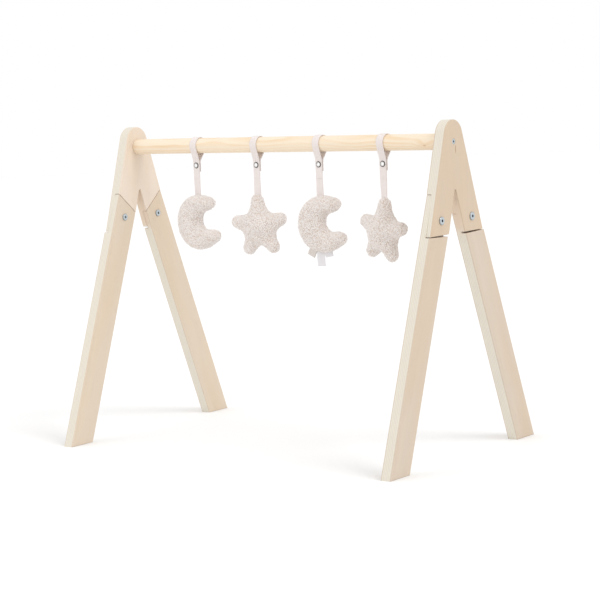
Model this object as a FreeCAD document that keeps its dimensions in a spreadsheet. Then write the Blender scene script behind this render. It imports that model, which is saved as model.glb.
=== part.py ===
"""Activity play gym: two A-shaped plywood end frames, a crossbar and four hanging plush toys.

Millimetres. +X runs along the crossbar, +Y from the front feet to the back feet, +Z up. The origin
is on the floor, under the middle of the gym. Each frame is a head and two legs, joined by half laps:
the leg's tongue is the inner half of the plate and the head's tongue is the outer half. A cotton
tape goes up from each toy, over the bar, and closes on itself with a press stud.
"""
import FreeCAD, Part
import math
import os

import Sketcher
from FreeCAD import Placement, Rotation, Vector

SIZES = {
    # end frames
    "plate_thickness": 18,
    "frame_height": 513,
    "frame_depth": 400,
    "leg_width": 47,
    "head_arm_width": 47,
    "head_lean": 17.3,
    "head_top_radius": 24.5,
    "knee_drop": 122.3,
    "tongue_drop": 170.5,
    "crotch_radius": 2,
    "shoulder_gap": 1,
    "shoulder_slope": 2.3,
    "seam_drop": 109.5,
    "seam_angle": 41.6,
    "seam_gap": 0.6,
    "tongue_radius": 4,
    "edge_radius": 1.2,
    # crossbar
    "bar_length": 620,
    "bar_diameter": 25,
    "bar_drop": 33,
    "bar_edge": 0.8,
    # leg bolts and their sleeve nuts
    "bolt_outset": 0.7,
    "bolt_drop": 148.5,
    "bolt_head_radius": 6.2,
    "bolt_head_thickness": 1.8,
    "bolt_radius": 3,
    "bolt_tip_gap": 1,
    "sleeve_head_radius": 5.6,
    "sleeve_radius": 4,
    "sleeve_setback": 4,
    "sleeve_floor": 3,
    "bolt_bevel": 0.5,
    "bolt_key": 4,
    "bolt_key_depth": 2,
    # crossbar screws and inserts
    "screw_head_radius": 4.3,
    "screw_radius": 2.5,
    "screw_bite": 12,
    "screw_recess": 0.4,
    "screw_key": 3,
    "screw_key_depth": 1.6,
    "insert_radius": 4,
    "insert_length": 16,
    "bore_depth": 30,
    "thread_clearance": 0.05,
    "hole_clearance": 0.3,
    # cotton tapes
    "strap_width": 13,
    "strap_thickness": 1.5,
    "strap_slack": 0.3,
    "hang_plane": -6,
    "front_run_angle": 19,
    "back_run_angle": 40,
    "snap_drop": 8,
    "tail_below_snap": 10,
    "loop_below_tail": 0.4,
    "hinge_gap": 1.2,
    "plush_gap": 0.4,
    # press studs
    "snap_radius": 4.75,
    "snap_face_thickness": 1,
    "snap_dish_radius": 2.9,
    "snap_dish_depth": 0.5,
    "snap_disc_radius": 4.2,
    "snap_disc_thickness": 0.75,
    "snap_ball_radius": 1.7,
    "snap_ball_height": 0.7,
    "snap_clearance": 0.1,
    "snap_bevel": 0.6,
    "snap_dish_bevel": 0.4,
    "snap_ball_bevel": 0.3,
    # plush toys
    "plush_thickness": 34,
    "plush_edge": 8,
    "tip_land": 0.5,
    "cover_thickness": 3,
    "moon_radius": 44.8,
    "moon_tip_radius": 11,
    "moon_half_opening": 52.5,
    "moon_hollow_offset": 17.9,
    "star_radius": 51.3,
    "star_tip_radius": 10.2,
    "star_arm_taper": 11,
    "star_notch_fillet": 12,
    "star_side_droop": 5.2,
    "star_low_droop": 2.9,
    # for each toy: its place along the bar, its drop below the press stud, its turn about the
    # vertical, its tilt in its own plane and its shift along that plane
    "moon_a_place": -176,
    "moon_a_drop": 49,
    "moon_a_twist": -3.1,
    "moon_a_tilt": 10.4,
    "moon_a_shift": 0.8,
    "star_a_place": -49,
    "star_a_drop": 47.6,
    "star_a_twist": 7.5,
    "star_a_tilt": 3.1,
    "star_a_shift": -2.4,
    "moon_b_place": 77,
    "moon_b_drop": 49.5,
    "moon_b_twist": 5.6,
    "moon_b_tilt": 9.4,
    "moon_b_shift": 3.9,
    "star_b_place": 200.5,
    "star_b_drop": 52.6,
    "star_b_twist": -13.6,
    "star_b_tilt": -7.5,
    "star_b_shift": 1.4,
    # sewn-in tab and care labels of the second moon
    "tab_angle": 243,
    "tab_width": 14,
    "tab_length": 11,
    "tab_thickness": 2.4,
    "label_angle": 260,
    "label_width": 14.5,
    "label_length": 22,
    "label_thickness": 0.6,
    "side_label_angle": 279,
    "side_label_length": 7,
    "sewing_gap": 0.7,
}

# ---- heights above the floor, as expressions on the sheet ----
CENTRE_HEIGHT = "(Sizes.frame_height - Sizes.head_top_radius)"
BAR_HEIGHT = "(Sizes.frame_height - Sizes.bar_drop)"
KNEE_HEIGHT = "(Sizes.frame_height - Sizes.knee_drop)"
SEAM_HEIGHT = "(Sizes.frame_height - Sizes.seam_drop)"
BOLT_HEIGHT = "(Sizes.frame_height - Sizes.bolt_drop)"
TONGUE_HEIGHT = "(Sizes.frame_height - Sizes.tongue_drop)"

# ---- edges of the head and legs; a leg runs from the foot to the knee on the head's edge ----
LAP = "Sizes.plate_thickness / 2"
LEG_FOOT = "(Sizes.frame_depth / 2)"
HEAD_EDGE = (
    f"(Sizes.head_top_radius / cos(Sizes.head_lean) + {CENTRE_HEIGHT} * tan(Sizes.head_lean))"
)
ARM_CUT = "(Sizes.head_arm_width / cos(Sizes.head_lean))"


def head_outer(height):
    """Distance of the head's outer edge from the middle of the frame, at a height."""
    return f"({HEAD_EDGE} - ({height}) * tan(Sizes.head_lean))"


def head_inner(height):
    """Distance of the head's inner edge from the middle of the frame, at a height."""
    return f"({head_outer(height)} - {ARM_CUT})"


LEG_LEAN = f"atan(({LEG_FOOT} - {head_outer(KNEE_HEIGHT)}) / {KNEE_HEIGHT})"
LEG_CUT = f"(Sizes.leg_width / cos({LEG_LEAN}))"


def leg_outer(height):
    """Distance of a leg's outer edge from the middle of the frame, at a height."""
    return f"({LEG_FOOT} - ({height}) * tan({LEG_LEAN}))"


def leg_inner(height):
    """Distance of a leg's inner edge from the middle of the frame, at a height."""
    return f"({leg_outer(height)} - {LEG_CUT})"


SEAM_SPREAD = leg_outer(SEAM_HEIGHT)
SEAM_INNER_HEIGHT = (
    f"({SEAM_HEIGHT} - tan(Sizes.seam_angle) * {LEG_CUT}"
    f" / (1 + tan(Sizes.seam_angle) * tan({LEG_LEAN})))"
)
SHOULDER_HEIGHT = f"({TONGUE_HEIGHT} - Sizes.shoulder_gap)"
SHOULDER_DROP = f"({LEG_CUT} * tan(Sizes.shoulder_slope))"
BOLT_SPREAD = f"({leg_outer(BOLT_HEIGHT)} - {LEG_CUT} / 2 + Sizes.bolt_outset)"

# ---- the tape's path in the plane across the bar ----
BAND_IN = "(Sizes.bar_diameter / 2 + Sizes.strap_slack)"
BAND_OUT = f"({BAND_IN} + Sizes.strap_thickness)"
SNAP_GAP = "(2 * Sizes.snap_disc_thickness + Sizes.snap_clearance)"
FRONT_FACE = "(Sizes.hang_plane - Sizes.strap_thickness / 2)"
FRONT_BACK = "(Sizes.hang_plane + Sizes.strap_thickness / 2)"
TAIL_FACE = f"({FRONT_BACK} + {SNAP_GAP})"
TAIL_BACK = f"({TAIL_FACE} + Sizes.strap_thickness)"


def run_bend(radius, across, angle, side):
    """Height where a straight run, tangent to a circle round the bar, meets an upright plane."""
    return f"({BAR_HEIGHT} - ({radius} {side} {across} * cos({angle})) / sin({angle}))"


FRONT_BEND_IN = run_bend(BAND_IN, FRONT_BACK, "Sizes.front_run_angle", "+")
FRONT_BEND_OUT = run_bend(BAND_OUT, FRONT_FACE, "Sizes.front_run_angle", "+")
TAIL_BEND_IN = run_bend(BAND_IN, TAIL_FACE, "Sizes.back_run_angle", "-")
TAIL_BEND_OUT = run_bend(BAND_OUT, TAIL_BACK, "Sizes.back_run_angle", "-")
SNAP_HEIGHT = f"({FRONT_BEND_IN} - Sizes.snap_drop)"
TAIL_END = f"({SNAP_HEIGHT} - Sizes.tail_below_snap)"
LOOP_END = f"({TAIL_END} - Sizes.loop_below_tail)"
HANGER_TOP = f"({LOOP_END} - Sizes.hinge_gap)"


def plush_top(toy):
    """Height of a toy's top, above its tilt."""
    return f"({SNAP_HEIGHT} - Sizes.{toy}_drop)"


doc = FreeCAD.newDocument("play_gym")
sheet = doc.addObject("Spreadsheet::Sheet", "Sizes")
for row, (alias, size) in enumerate(SIZES.items(), start=1):
    sheet.set(f"A{row}", str(size))
    sheet.setAlias(f"A{row}", alias)
doc.recompute()

nodes = []

# Edges are found by where they lie, within this many millimetres.
NEAR = 0.001
UPRIGHT = Vector(0, 0, 1)


def value(owner, expression):
    """The number that an expression on the sheet gives now."""
    return float(owner.evalExpression(expression))


def new_body(label, angle=0):
    """A body with its own label, turned about the vertical."""
    body = doc.addObject("PartDesign::Body", label)
    body.Label = label
    body.Placement = Placement(Vector(), Rotation(UPRIGHT, angle))
    return body


def put(thing, x="0", y="0", z="0"):
    """Bind the place of a body to the sheet."""
    for axis, expression in zip("xyz", (x, y, z)):
        thing.setExpression(f"Placement.Base.{axis}", expression)


def sketch_on(body, role, name, offset="0", tilt="0"):
    """A sketch on one of the body's own origin planes, lifted off it and turned in it."""
    sketch = body.newObject("Sketcher::SketchObject", f"{body.Name}_{name}")
    plane = next(item for item in body.Origin.OriginFeatures if item.Role == role)
    sketch.AttachmentSupport = [(plane, "")]
    sketch.MapMode = "FlatFace"
    sketch.setExpression("AttachmentOffset.Base.z", offset)
    sketch.AttachmentOffset.Rotation = Rotation(Vector(0, 0, 1), 0)
    sketch.setExpression("AttachmentOffset.Rotation.Angle", tilt)
    return sketch


def pin_down(sketch, edge, end, across, up, name):
    """Fix one end of an edge at two distances from the sketch's origin."""
    for kind, expression in (("DistanceX", across), ("DistanceY", up)):
        number = sketch.addConstraint(
            Sketcher.Constraint(kind, -1, 1, edge, end, value(sketch, expression))
        )
        sketch.renameConstraint(number, f"{name}_{kind[-1].lower()}")
        sketch.setExpression(f"Constraints.{name}_{kind[-1].lower()}", expression)


def arc_between(sketch, start, end, centre, radius):
    """An anticlockwise arc from start to end about a centre."""
    first = math.atan2(start.y - centre.y, start.x - centre.x)
    last = math.atan2(end.y - centre.y, end.x - centre.x)
    if last < first:
        last += 2 * math.pi
    circle = Part.Circle(centre, Vector(0, 0, 1), radius)
    return sketch.addGeometry(Part.ArcOfCircle(circle, first, last))


def outline(sketch, corners, arcs=None):
    """A closed outline through corners, given as pairs of expressions.

    arcs maps a corner's number to the arc that leaves it: (radius, centre across, centre up, way),
    where way is "left" for anticlockwise and "right" for clockwise. Other sides are straight.
    """
    arcs = arcs or {}
    spots = [Vector(value(sketch, across), value(sketch, up), 0) for across, up in corners]
    ends = []
    for index, start in enumerate(spots):
        end = spots[(index + 1) % len(spots)]
        if index not in arcs:
            edge = sketch.addGeometry(Part.LineSegment(start, end))
            ends.append((edge, 1, 2))
            continue
        radius, across, up, way = arcs[index]
        centre = Vector(value(sketch, across), value(sketch, up), 0)
        size = value(sketch, radius)
        if way == "left":
            edge = arc_between(sketch, start, end, centre, size)
            ends.append((edge, 1, 2))
        else:
            edge = arc_between(sketch, end, start, centre, size)
            ends.append((edge, 2, 1))
        number = sketch.addConstraint(Sketcher.Constraint("Radius", edge, size))
        sketch.renameConstraint(number, f"radius_{index}")
        sketch.setExpression(f"Constraints.radius_{index}", radius)
    for index, (across, up) in enumerate(corners):
        edge, begin, _ = ends[index]
        before, _, finish = ends[index - 1]
        sketch.addConstraint(Sketcher.Constraint("Coincident", before, finish, edge, begin))
        pin_down(sketch, edge, begin, across, up, f"corner_{index}")


def circle_at(sketch, across, up, radius, name="hole"):
    """A circle whose centre and radius are bound to the sheet."""
    centre = Vector(value(sketch, across), value(sketch, up), 0)
    edge = sketch.addGeometry(
        Part.Circle(centre, Vector(0, 0, 1), value(sketch, radius))
    )
    pin_down(sketch, edge, 3, across, up, name)
    number = sketch.addConstraint(
        Sketcher.Constraint("Radius", edge, value(sketch, radius))
    )
    sketch.renameConstraint(number, f"{name}_radius")
    sketch.setExpression(f"Constraints.{name}_radius", radius)


def pad(body, sketch, name, length, both_ways=False):
    """Pad a sketch along its plane's normal, or evenly both ways."""
    feature = body.newObject("PartDesign::Pad", f"{body.Name}_{name}")
    feature.Profile = sketch
    feature.setExpression("Length", length)
    if both_ways:
        feature.SideType = "Symmetric"
    doc.recompute()
    return feature


def pocket(body, sketch, name, length, along_normal=True):
    """Cut a sketch into the body, along its plane's normal or against it."""
    before = body.Shape.Volume
    feature = body.newObject("PartDesign::Pocket", f"{body.Name}_{name}")
    feature.Profile = sketch
    feature.setExpression("Length", length)
    feature.Reversed = along_normal
    doc.recompute()
    if body.Shape.Volume >= before:
        raise RuntimeError(f"{feature.Name} cuts nothing")
    return feature


def revolve(body, corners, name, arcs=None):
    """Turn a profile in the XY plane about the body's X axis."""
    sketch = sketch_on(body, "XY_Plane", f"{name}_profile")
    outline(sketch, corners, arcs)
    feature = body.newObject("PartDesign::Revolution", f"{body.Name}_{name}")
    feature.Profile = sketch
    feature.ReferenceAxis = (sketch, ["H_Axis"])
    feature.Angle = 360
    doc.recompute()
    return feature


def hex_socket(body, name, across_flats, outer, depth, inward):
    """A hexagon socket about the body's X axis. inward is the way it is cut: +1 or -1 along X."""
    sketch = sketch_on(body, "YZ_Plane", f"{name}_hexagon", offset=outer)
    points = [
        (
            f"{across_flats} / sqrt(3) * cos({60 * turn})",
            f"{across_flats} / sqrt(3) * sin({60 * turn})",
        )
        for turn in range(6)
    ]
    outline(sketch, points)
    return pocket(body, sketch, name, depth, along_normal=inward > 0)


def edges_where(feature, test):
    """Names of a feature's edges for which test(edge) is true, in the body's own frame."""
    return [f"Edge{index}" for index, edge in enumerate(feature.Shape.Edges, 1) if test(edge)]


def in_plane(edge, axis, place):
    """True for an edge that lies in the plane where one coordinate has this value."""
    box = edge.BoundBox
    low = getattr(box, f"{axis}Min")
    high = getattr(box, f"{axis}Max")
    return abs(low - place) < NEAR and abs(high - place) < NEAR


def is_hole(edge):
    """True for a whole circle."""
    return isinstance(edge.Curve, Part.Circle) and edge.isClosed()


def dress(body, base, kind, names, size_name, size, label):
    """A fillet or chamfer of the named edges, with its size bound to the sheet."""
    feature = body.newObject(f"PartDesign::{kind}", f"{body.Name}_{label}")
    feature.Base = (base, names)
    feature.setExpression(size_name, size)
    doc.recompute()
    return feature


def round_plate_edges(body, base):
    """Ease the edges round both faces of a plate, but not its holes."""
    thickness = value(sheet, "Sizes.plate_thickness")

    def is_rim(edge):
        flat = in_plane(edge, "X", 0) or in_plane(edge, "X", thickness)
        return flat and not is_hole(edge)

    names = edges_where(base, is_rim)
    return dress(body, base, "Fillet", names, "Radius", "Sizes.edge_radius", "eased_edges")


def keep(thing, label):
    """Take a finished object as the node of this name."""
    thing.Label = label
    nodes.append(thing)
    return thing


# ---- heads and legs ----
def mirrored(points):
    """The same outline's other half: each point mirrored across the middle, in reverse order."""
    return [(f"-1 * {across}", up) for across, up in reversed(points)]


def half_head(steps):
    """Corners and arcs of a head layer: its rounded top, then one side's steps and their mirror."""
    touch = (
        "Sizes.head_top_radius * cos(Sizes.head_lean)",
        f"{CENTRE_HEIGHT} + Sizes.head_top_radius * sin(Sizes.head_lean)",
    )
    crotch = ("0", f"({HEAD_EDGE} - {ARM_CUT}) / tan(Sizes.head_lean)")
    corners = mirrored([touch] + steps) + [touch] + steps + [crotch]
    arcs = {len(steps): ("Sizes.head_top_radius", "0", CENTRE_HEIGHT, "right")}
    return corners, arcs


def seam_meets(edge):
    """Height where the head's side of the seam meets an edge of the head, given at floor height."""
    lifted = f"({SEAM_HEIGHT} + Sizes.seam_gap / cos(Sizes.seam_angle))"
    both_slopes = "(1 + tan(Sizes.seam_angle) * tan(Sizes.head_lean))"
    return f"(({lifted} + tan(Sizes.seam_angle) * ({edge} - {SEAM_SPREAD})) / {both_slopes})"


def head(label, turn, place):
    """One head: the inner layer ends on the slanted seams, the outer layer is the long tongues."""
    body = new_body(label, turn)
    put(body, x=place)
    seam_outer = seam_meets(HEAD_EDGE)
    seam_inner = seam_meets(f"{HEAD_EDGE} - {ARM_CUT}")
    steps = [(head_outer(seam_outer), seam_outer), (head_inner(seam_inner), seam_inner)]
    inner = sketch_on(body, "YZ_Plane", "inner_outline")
    outline(inner, *half_head(steps))
    pad(body, inner, "inner_layer", LAP)
    steps = [
        (head_outer(TONGUE_HEIGHT), TONGUE_HEIGHT),
        (head_inner(TONGUE_HEIGHT), TONGUE_HEIGHT),
    ]
    outer = sketch_on(body, "YZ_Plane", "outer_outline", offset=LAP)
    outline(outer, *half_head(steps))
    feature = pad(body, outer, "outer_layer", LAP)
    crotch = edges_where(
        feature,
        lambda line: in_plane(line, "Y", 0) and line.BoundBox.ZMax < value(sheet, CENTRE_HEIGHT),
    )
    feature = dress(body, feature, "Fillet", crotch, "Radius", "Sizes.crotch_radius", "crotch")
    feature = round_plate_edges(body, feature)
    holes = sketch_on(body, "YZ_Plane", "bolt_holes")
    for name, spread in (("front", f"-1 * {BOLT_SPREAD}"), ("back", BOLT_SPREAD)):
        radius = "Sizes.sleeve_radius + Sizes.hole_clearance / 2"
        circle_at(holes, spread, BOLT_HEIGHT, radius, name)
    pocket(body, holes, "bolt_bores", "Sizes.plate_thickness")
    screw_hole = sketch_on(body, "YZ_Plane", "screw_hole")
    circle_at(screw_hole, "0", BAR_HEIGHT, "Sizes.screw_radius + Sizes.hole_clearance")
    feature = pocket(body, screw_hole, "screw_bore", "Sizes.plate_thickness")
    thickness = value(sheet, "Sizes.plate_thickness")
    rim = edges_where(
        feature,
        lambda line: is_hole(line)
        and in_plane(line, "X", thickness)
        and line.BoundBox.ZMin > value(sheet, f"({BOLT_HEIGHT} + {BAR_HEIGHT}) / 2"),
    )
    size = "Sizes.screw_head_radius + Sizes.screw_recess - Sizes.screw_radius"
    size += " - Sizes.hole_clearance + Sizes.thread_clearance"
    dress(body, feature, "Chamfer", rim, "Size", size, "countersink")
    keep(body, label)


def leg(label, turn, place, side):
    """One leg. side is +1 or -1: which way from the middle its foot stands, in the body's frame."""
    body = new_body(label, turn)
    put(body, x=place)

    def sided(points):
        return [(f"{side} * {across}", up) for across, up in points]

    foot = [(LEG_FOOT, "0"), (leg_inner("0"), "0")]
    inner = sketch_on(body, "YZ_Plane", "inner_outline")
    seam = [
        (leg_inner(SEAM_INNER_HEIGHT), SEAM_INNER_HEIGHT),
        (SEAM_SPREAD, SEAM_HEIGHT),
    ]
    outline(inner, sided(foot + seam))
    pad(body, inner, "inner_layer", LAP)
    low = f"({SHOULDER_HEIGHT} - {SHOULDER_DROP})"
    shoulder = [(leg_inner(low), low), (leg_outer(SHOULDER_HEIGHT), SHOULDER_HEIGHT)]
    outer = sketch_on(body, "YZ_Plane", "outer_outline", offset=LAP)
    outline(outer, sided(foot + shoulder))
    feature = pad(body, outer, "outer_layer", LAP)
    height = value(sheet, SEAM_INNER_HEIGHT)
    corner = edges_where(feature, lambda line: in_plane(line, "Z", height))
    feature = dress(body, feature, "Fillet", corner, "Radius", "Sizes.tongue_radius", "corner")
    round_plate_edges(body, feature)
    hole = sketch_on(body, "YZ_Plane", "bolt_hole")
    radius = "Sizes.sleeve_radius + Sizes.hole_clearance / 2"
    circle_at(hole, f"{side} * {BOLT_SPREAD}", BOLT_HEIGHT, radius)
    pocket(body, hole, "bolt_bore", "Sizes.plate_thickness")
    keep(body, label)


# ---- crossbar ----
def crossbar():
    """A round bar with a bore in each end for the screw's insert."""
    body = new_body("crossbar")
    put(body, z=BAR_HEIGHT)
    section = sketch_on(body, "YZ_Plane", "section")
    circle_at(section, "0", "0", "Sizes.bar_diameter / 2")
    feature = pad(body, section, "bar", "Sizes.bar_length", both_ways=True)
    rims = edges_where(feature, is_hole)
    dress(body, feature, "Chamfer", rims, "Size", "Sizes.bar_edge", "eased_ends")
    for name, side in (("left", -1), ("right", 1)):
        bore = sketch_on(body, "YZ_Plane", f"{name}_mouth", offset=f"{side} * Sizes.bar_length / 2")
        circle_at(bore, "0", "0", "Sizes.insert_radius + Sizes.thread_clearance")
        pocket(body, bore, f"{name}_bore", "Sizes.bore_depth", along_normal=side < 0)
    keep(body, "crossbar")


# ---- hardware, each built about its own X axis with its outer end towards +X ----
def group(label, bodies):
    """Identical fasteners as one node of separate solids."""
    compound = doc.addObject("Part::Compound", label)
    compound.Links = bodies
    doc.recompute()
    keep(compound, label)


def leg_bolt(name, turn, place, spread):
    """A flat-headed bolt with a hexagon socket; its origin is on the plate's outer face."""
    body = new_body(name, turn)
    put(body, x=place, y=spread, z=BOLT_HEIGHT)
    top = "Sizes.bolt_head_thickness"
    tip = "(Sizes.sleeve_floor + Sizes.bolt_tip_gap - Sizes.plate_thickness)"
    revolve(
        body,
        [
            (tip, "0"),
            (top, "0"),
            (top, "Sizes.bolt_head_radius - Sizes.bolt_bevel"),
            (f"{top} - Sizes.bolt_bevel", "Sizes.bolt_head_radius"),
            ("0", "Sizes.bolt_head_radius"),
            ("0", "Sizes.bolt_radius"),
            (tip, "Sizes.bolt_radius"),
        ],
        "shape",
    )
    hex_socket(body, "socket", "Sizes.bolt_key", top, "Sizes.bolt_key_depth", -1)
    return body


def sleeve_nut(name, turn, place, spread):
    """A flanged sleeve that the bolt screws into; its origin is on the plate's inner face."""
    body = new_body(name, turn)
    put(body, x=place, y=spread, z=BOLT_HEIGHT)
    low = "-1 * Sizes.bolt_head_thickness"
    bore = "Sizes.bolt_radius + Sizes.thread_clearance"
    mouth = "(Sizes.plate_thickness - Sizes.sleeve_setback)"
    revolve(
        body,
        [
            (low, "0"),
            ("Sizes.sleeve_floor", "0"),
            ("Sizes.sleeve_floor", bore),
            (mouth, bore),
            (mouth, "Sizes.sleeve_radius"),
            ("0", "Sizes.sleeve_radius"),
            ("0", "Sizes.sleeve_head_radius"),
            (f"{low} + Sizes.bolt_bevel", "Sizes.sleeve_head_radius"),
            (low, "Sizes.sleeve_head_radius - Sizes.bolt_bevel"),
        ],
        "shape",
    )
    hex_socket(body, "socket", "Sizes.bolt_key", low, "Sizes.bolt_key_depth", 1)
    return body


def bar_screw(name, turn, place):
    """A countersunk screw through the head into the bar; its origin is on the outer face."""
    body = new_body(name, turn)
    put(body, x=place, z=BAR_HEIGHT)
    top = "-1 * Sizes.screw_recess"
    neck = f"({top} - Sizes.screw_head_radius + Sizes.screw_radius)"
    tip = "-1 * (Sizes.plate_thickness + Sizes.screw_bite)"
    revolve(
        body,
        [
            (tip, "0"),
            (top, "0"),
            (top, "Sizes.screw_head_radius"),
            (neck, "Sizes.screw_radius"),
            (tip, "Sizes.screw_radius"),
        ],
        "shape",
    )
    hex_socket(body, "socket", "Sizes.screw_key", top, "Sizes.screw_key_depth", -1)
    return body


def bar_insert(name, turn, place):
    """The threaded insert in the bar's end; its origin is on the end face."""
    body = new_body(name, turn)
    put(body, x=place, z=BAR_HEIGHT)
    bore = "Sizes.screw_radius + Sizes.thread_clearance"
    revolve(
        body,
        [
            ("-1 * Sizes.insert_length", bore),
            ("-1 * Sizes.bar_edge", bore),
            ("-1 * Sizes.bar_edge", "Sizes.insert_radius"),
            ("-1 * Sizes.insert_length", "Sizes.insert_radius"),
        ],
        "shape",
    )
    return body


# ---- tapes and press studs ----
def around_bar(radius, angle, side):
    """Point where a straight run leaves a circle round the bar, behind (+1) or in front (-1)."""
    return (
        f"{side} * {radius} * cos({angle})",
        f"{BAR_HEIGHT} - {radius} * sin({angle})",
    )


def tape(toy, part, corners, arcs=None):
    """A length of tape: its edge outline across the bar, padded to the tape's width."""
    body = new_body(f"{toy}_{part}")
    put(body, x=f"Sizes.{toy}_place")
    side = sketch_on(body, "YZ_Plane", "side")
    outline(side, corners, arcs)
    pad(body, side, "tape", "Sizes.strap_width", both_ways=True)
    return body


def strap_loop(toy):
    """Up the front from below the press stud, over the bar, and down to where the back run leaves."""
    front = "Sizes.front_run_angle"
    back = "Sizes.back_run_angle"
    corners = [
        (FRONT_FACE, LOOP_END),
        (FRONT_BACK, LOOP_END),
        (FRONT_BACK, FRONT_BEND_IN),
        around_bar(BAND_IN, front, -1),
        around_bar(BAND_IN, back, 1),
        around_bar(BAND_OUT, back, 1),
        around_bar(BAND_OUT, front, -1),
        (FRONT_FACE, FRONT_BEND_OUT),
    ]
    arcs = {
        3: (BAND_IN, "0", BAR_HEIGHT, "right"),
        5: (BAND_OUT, "0", BAR_HEIGHT, "left"),
    }
    body = tape(toy, "strap_loop", corners, arcs)
    keep(body, f"{toy}_strap_loop")


def strap_tail(toy):
    """The free end behind the bar, from the back of the loop down past the press stud."""
    back = "Sizes.back_run_angle"
    clear = "Sizes.strap_slack"
    inner = around_bar(BAND_IN, back, 1)
    outer = around_bar(BAND_OUT, back, 1)
    corners = [
        (TAIL_FACE, TAIL_END),
        (TAIL_BACK, TAIL_END),
        (TAIL_BACK, TAIL_BEND_OUT),
        (f"{outer[0]} - {clear} * sin({back})", f"{outer[1]} - {clear} * cos({back})"),
        (f"{inner[0]} - {clear} * sin({back})", f"{inner[1]} - {clear} * cos({back})"),
        (TAIL_FACE, TAIL_BEND_IN),
    ]
    body = tape(toy, "strap_tail", corners)
    keep(body, f"{toy}_strap_tail")


def hanging_strap(toy):
    """The straight length from below the press stud to the top of the plush."""
    low = f"({plush_top(toy)} + Sizes.plush_gap)"
    corners = [
        (FRONT_FACE, low),
        (FRONT_BACK, low),
        (FRONT_BACK, HANGER_TOP),
        (FRONT_FACE, HANGER_TOP),
    ]
    body = tape(toy, "hanging_strap", corners)
    keep(body, f"{toy}_hanging_strap")


def snap_piece(toy, part, plane, corners):
    """One turned piece of a press stud. Its X axis points to the front, from a face of the tape."""
    body = new_body(f"{toy}_{part}", -90)
    put(body, x=f"Sizes.{toy}_place", y=plane, z=SNAP_HEIGHT)
    revolve(body, corners, "shape")
    keep(body, f"{toy}_{part}")


def press_stud(toy):
    """The four pieces: cap and socket on the front tape, stud and back post on the tail."""
    face = "Sizes.snap_face_thickness"
    disc = "Sizes.snap_disc_thickness"
    ball = f"({disc} + Sizes.snap_ball_height)"
    snap_piece(
        toy,
        "snap_cap",
        FRONT_FACE,
        [
            ("0", "0"),
            (f"{face} - Sizes.snap_dish_depth", "0"),
            (f"{face} - Sizes.snap_dish_depth", "Sizes.snap_dish_radius - Sizes.snap_dish_bevel"),
            (face, "Sizes.snap_dish_radius"),
            (face, "Sizes.snap_radius - Sizes.snap_bevel"),
            (f"{face} / 2", "Sizes.snap_radius"),
            ("0", "Sizes.snap_radius"),
        ],
    )
    snap_piece(
        toy,
        "snap_socket",
        FRONT_BACK,
        [
            (f"-1 * {disc}", "Sizes.snap_ball_radius + Sizes.snap_clearance"),
            ("0", "Sizes.snap_ball_radius + Sizes.snap_clearance"),
            ("0", "Sizes.snap_disc_radius"),
            (f"-1 * {disc}", "Sizes.snap_disc_radius"),
        ],
    )
    snap_piece(
        toy,
        "snap_stud",
        TAIL_FACE,
        [
            ("0", "0"),
            (ball, "0"),
            (ball, "Sizes.snap_ball_radius - Sizes.snap_ball_bevel"),
            (f"{ball} - Sizes.snap_ball_bevel", "Sizes.snap_ball_radius"),
            (disc, "Sizes.snap_ball_radius"),
            (disc, "Sizes.snap_disc_radius"),
            ("0", "Sizes.snap_disc_radius"),
        ],
    )
    snap_piece(
        toy,
        "snap_back",
        TAIL_BACK,
        [
            (f"-1 * {face}", "0"),
            ("0", "0"),
            ("0", "Sizes.snap_disc_radius"),
            (f"-1 * {face} / 2", "Sizes.snap_disc_radius"),
            (f"-1 * {face}", "Sizes.snap_disc_radius - Sizes.snap_bevel"),
        ],
    )


# ---- plush toys ----
def moon_outline(sketch, inset):
    """A crescent open towards +X, centred on its outer circle, drawn inset from its true edge."""
    outer = f"(Sizes.moon_radius - {inset})"
    tip = f"(Sizes.moon_tip_radius - {inset})"
    reach = "(Sizes.moon_radius - Sizes.moon_tip_radius)"
    half = "Sizes.moon_half_opening"
    tip_x = f"({reach} * cos({half}))"
    tip_y = f"({reach} * sin({half}))"
    hollow_x = "Sizes.moon_hollow_offset"
    apart = f"sqrt(pow({tip_x} - {hollow_x}; 2) + pow({tip_y}; 2))"
    hollow = f"({apart} - Sizes.moon_tip_radius + {inset})"
    touch_x = f"({hollow_x} + {hollow} * ({tip_x} - {hollow_x}) / {apart})"
    touch_y = f"({hollow} * {tip_y} / {apart})"
    corners = [
        (f"{outer} * cos({half})", f"{outer} * sin({half})"),
        (f"{outer} * cos({half})", f"-1 * {outer} * sin({half})"),
        (touch_x, f"-1 * {touch_y}"),
        (touch_x, touch_y),
    ]
    arcs = {
        0: (outer, "0", "0", "left"),
        1: (tip, tip_x, f"-1 * {tip_y}", "left"),
        2: (hollow, hollow_x, "0", "right"),
        3: (tip, tip_x, tip_y, "left"),
    }
    outline(sketch, corners, arcs)


# The angles of a hanging star's arms, from its top arm on to its left: the others droop.
STAR_ARMS = (
    "90",
    "(162 + Sizes.star_side_droop)",
    "(234 + Sizes.star_low_droop)",
    "(306 - Sizes.star_low_droop)",
    "(378 - Sizes.star_side_droop)",
)


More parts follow.
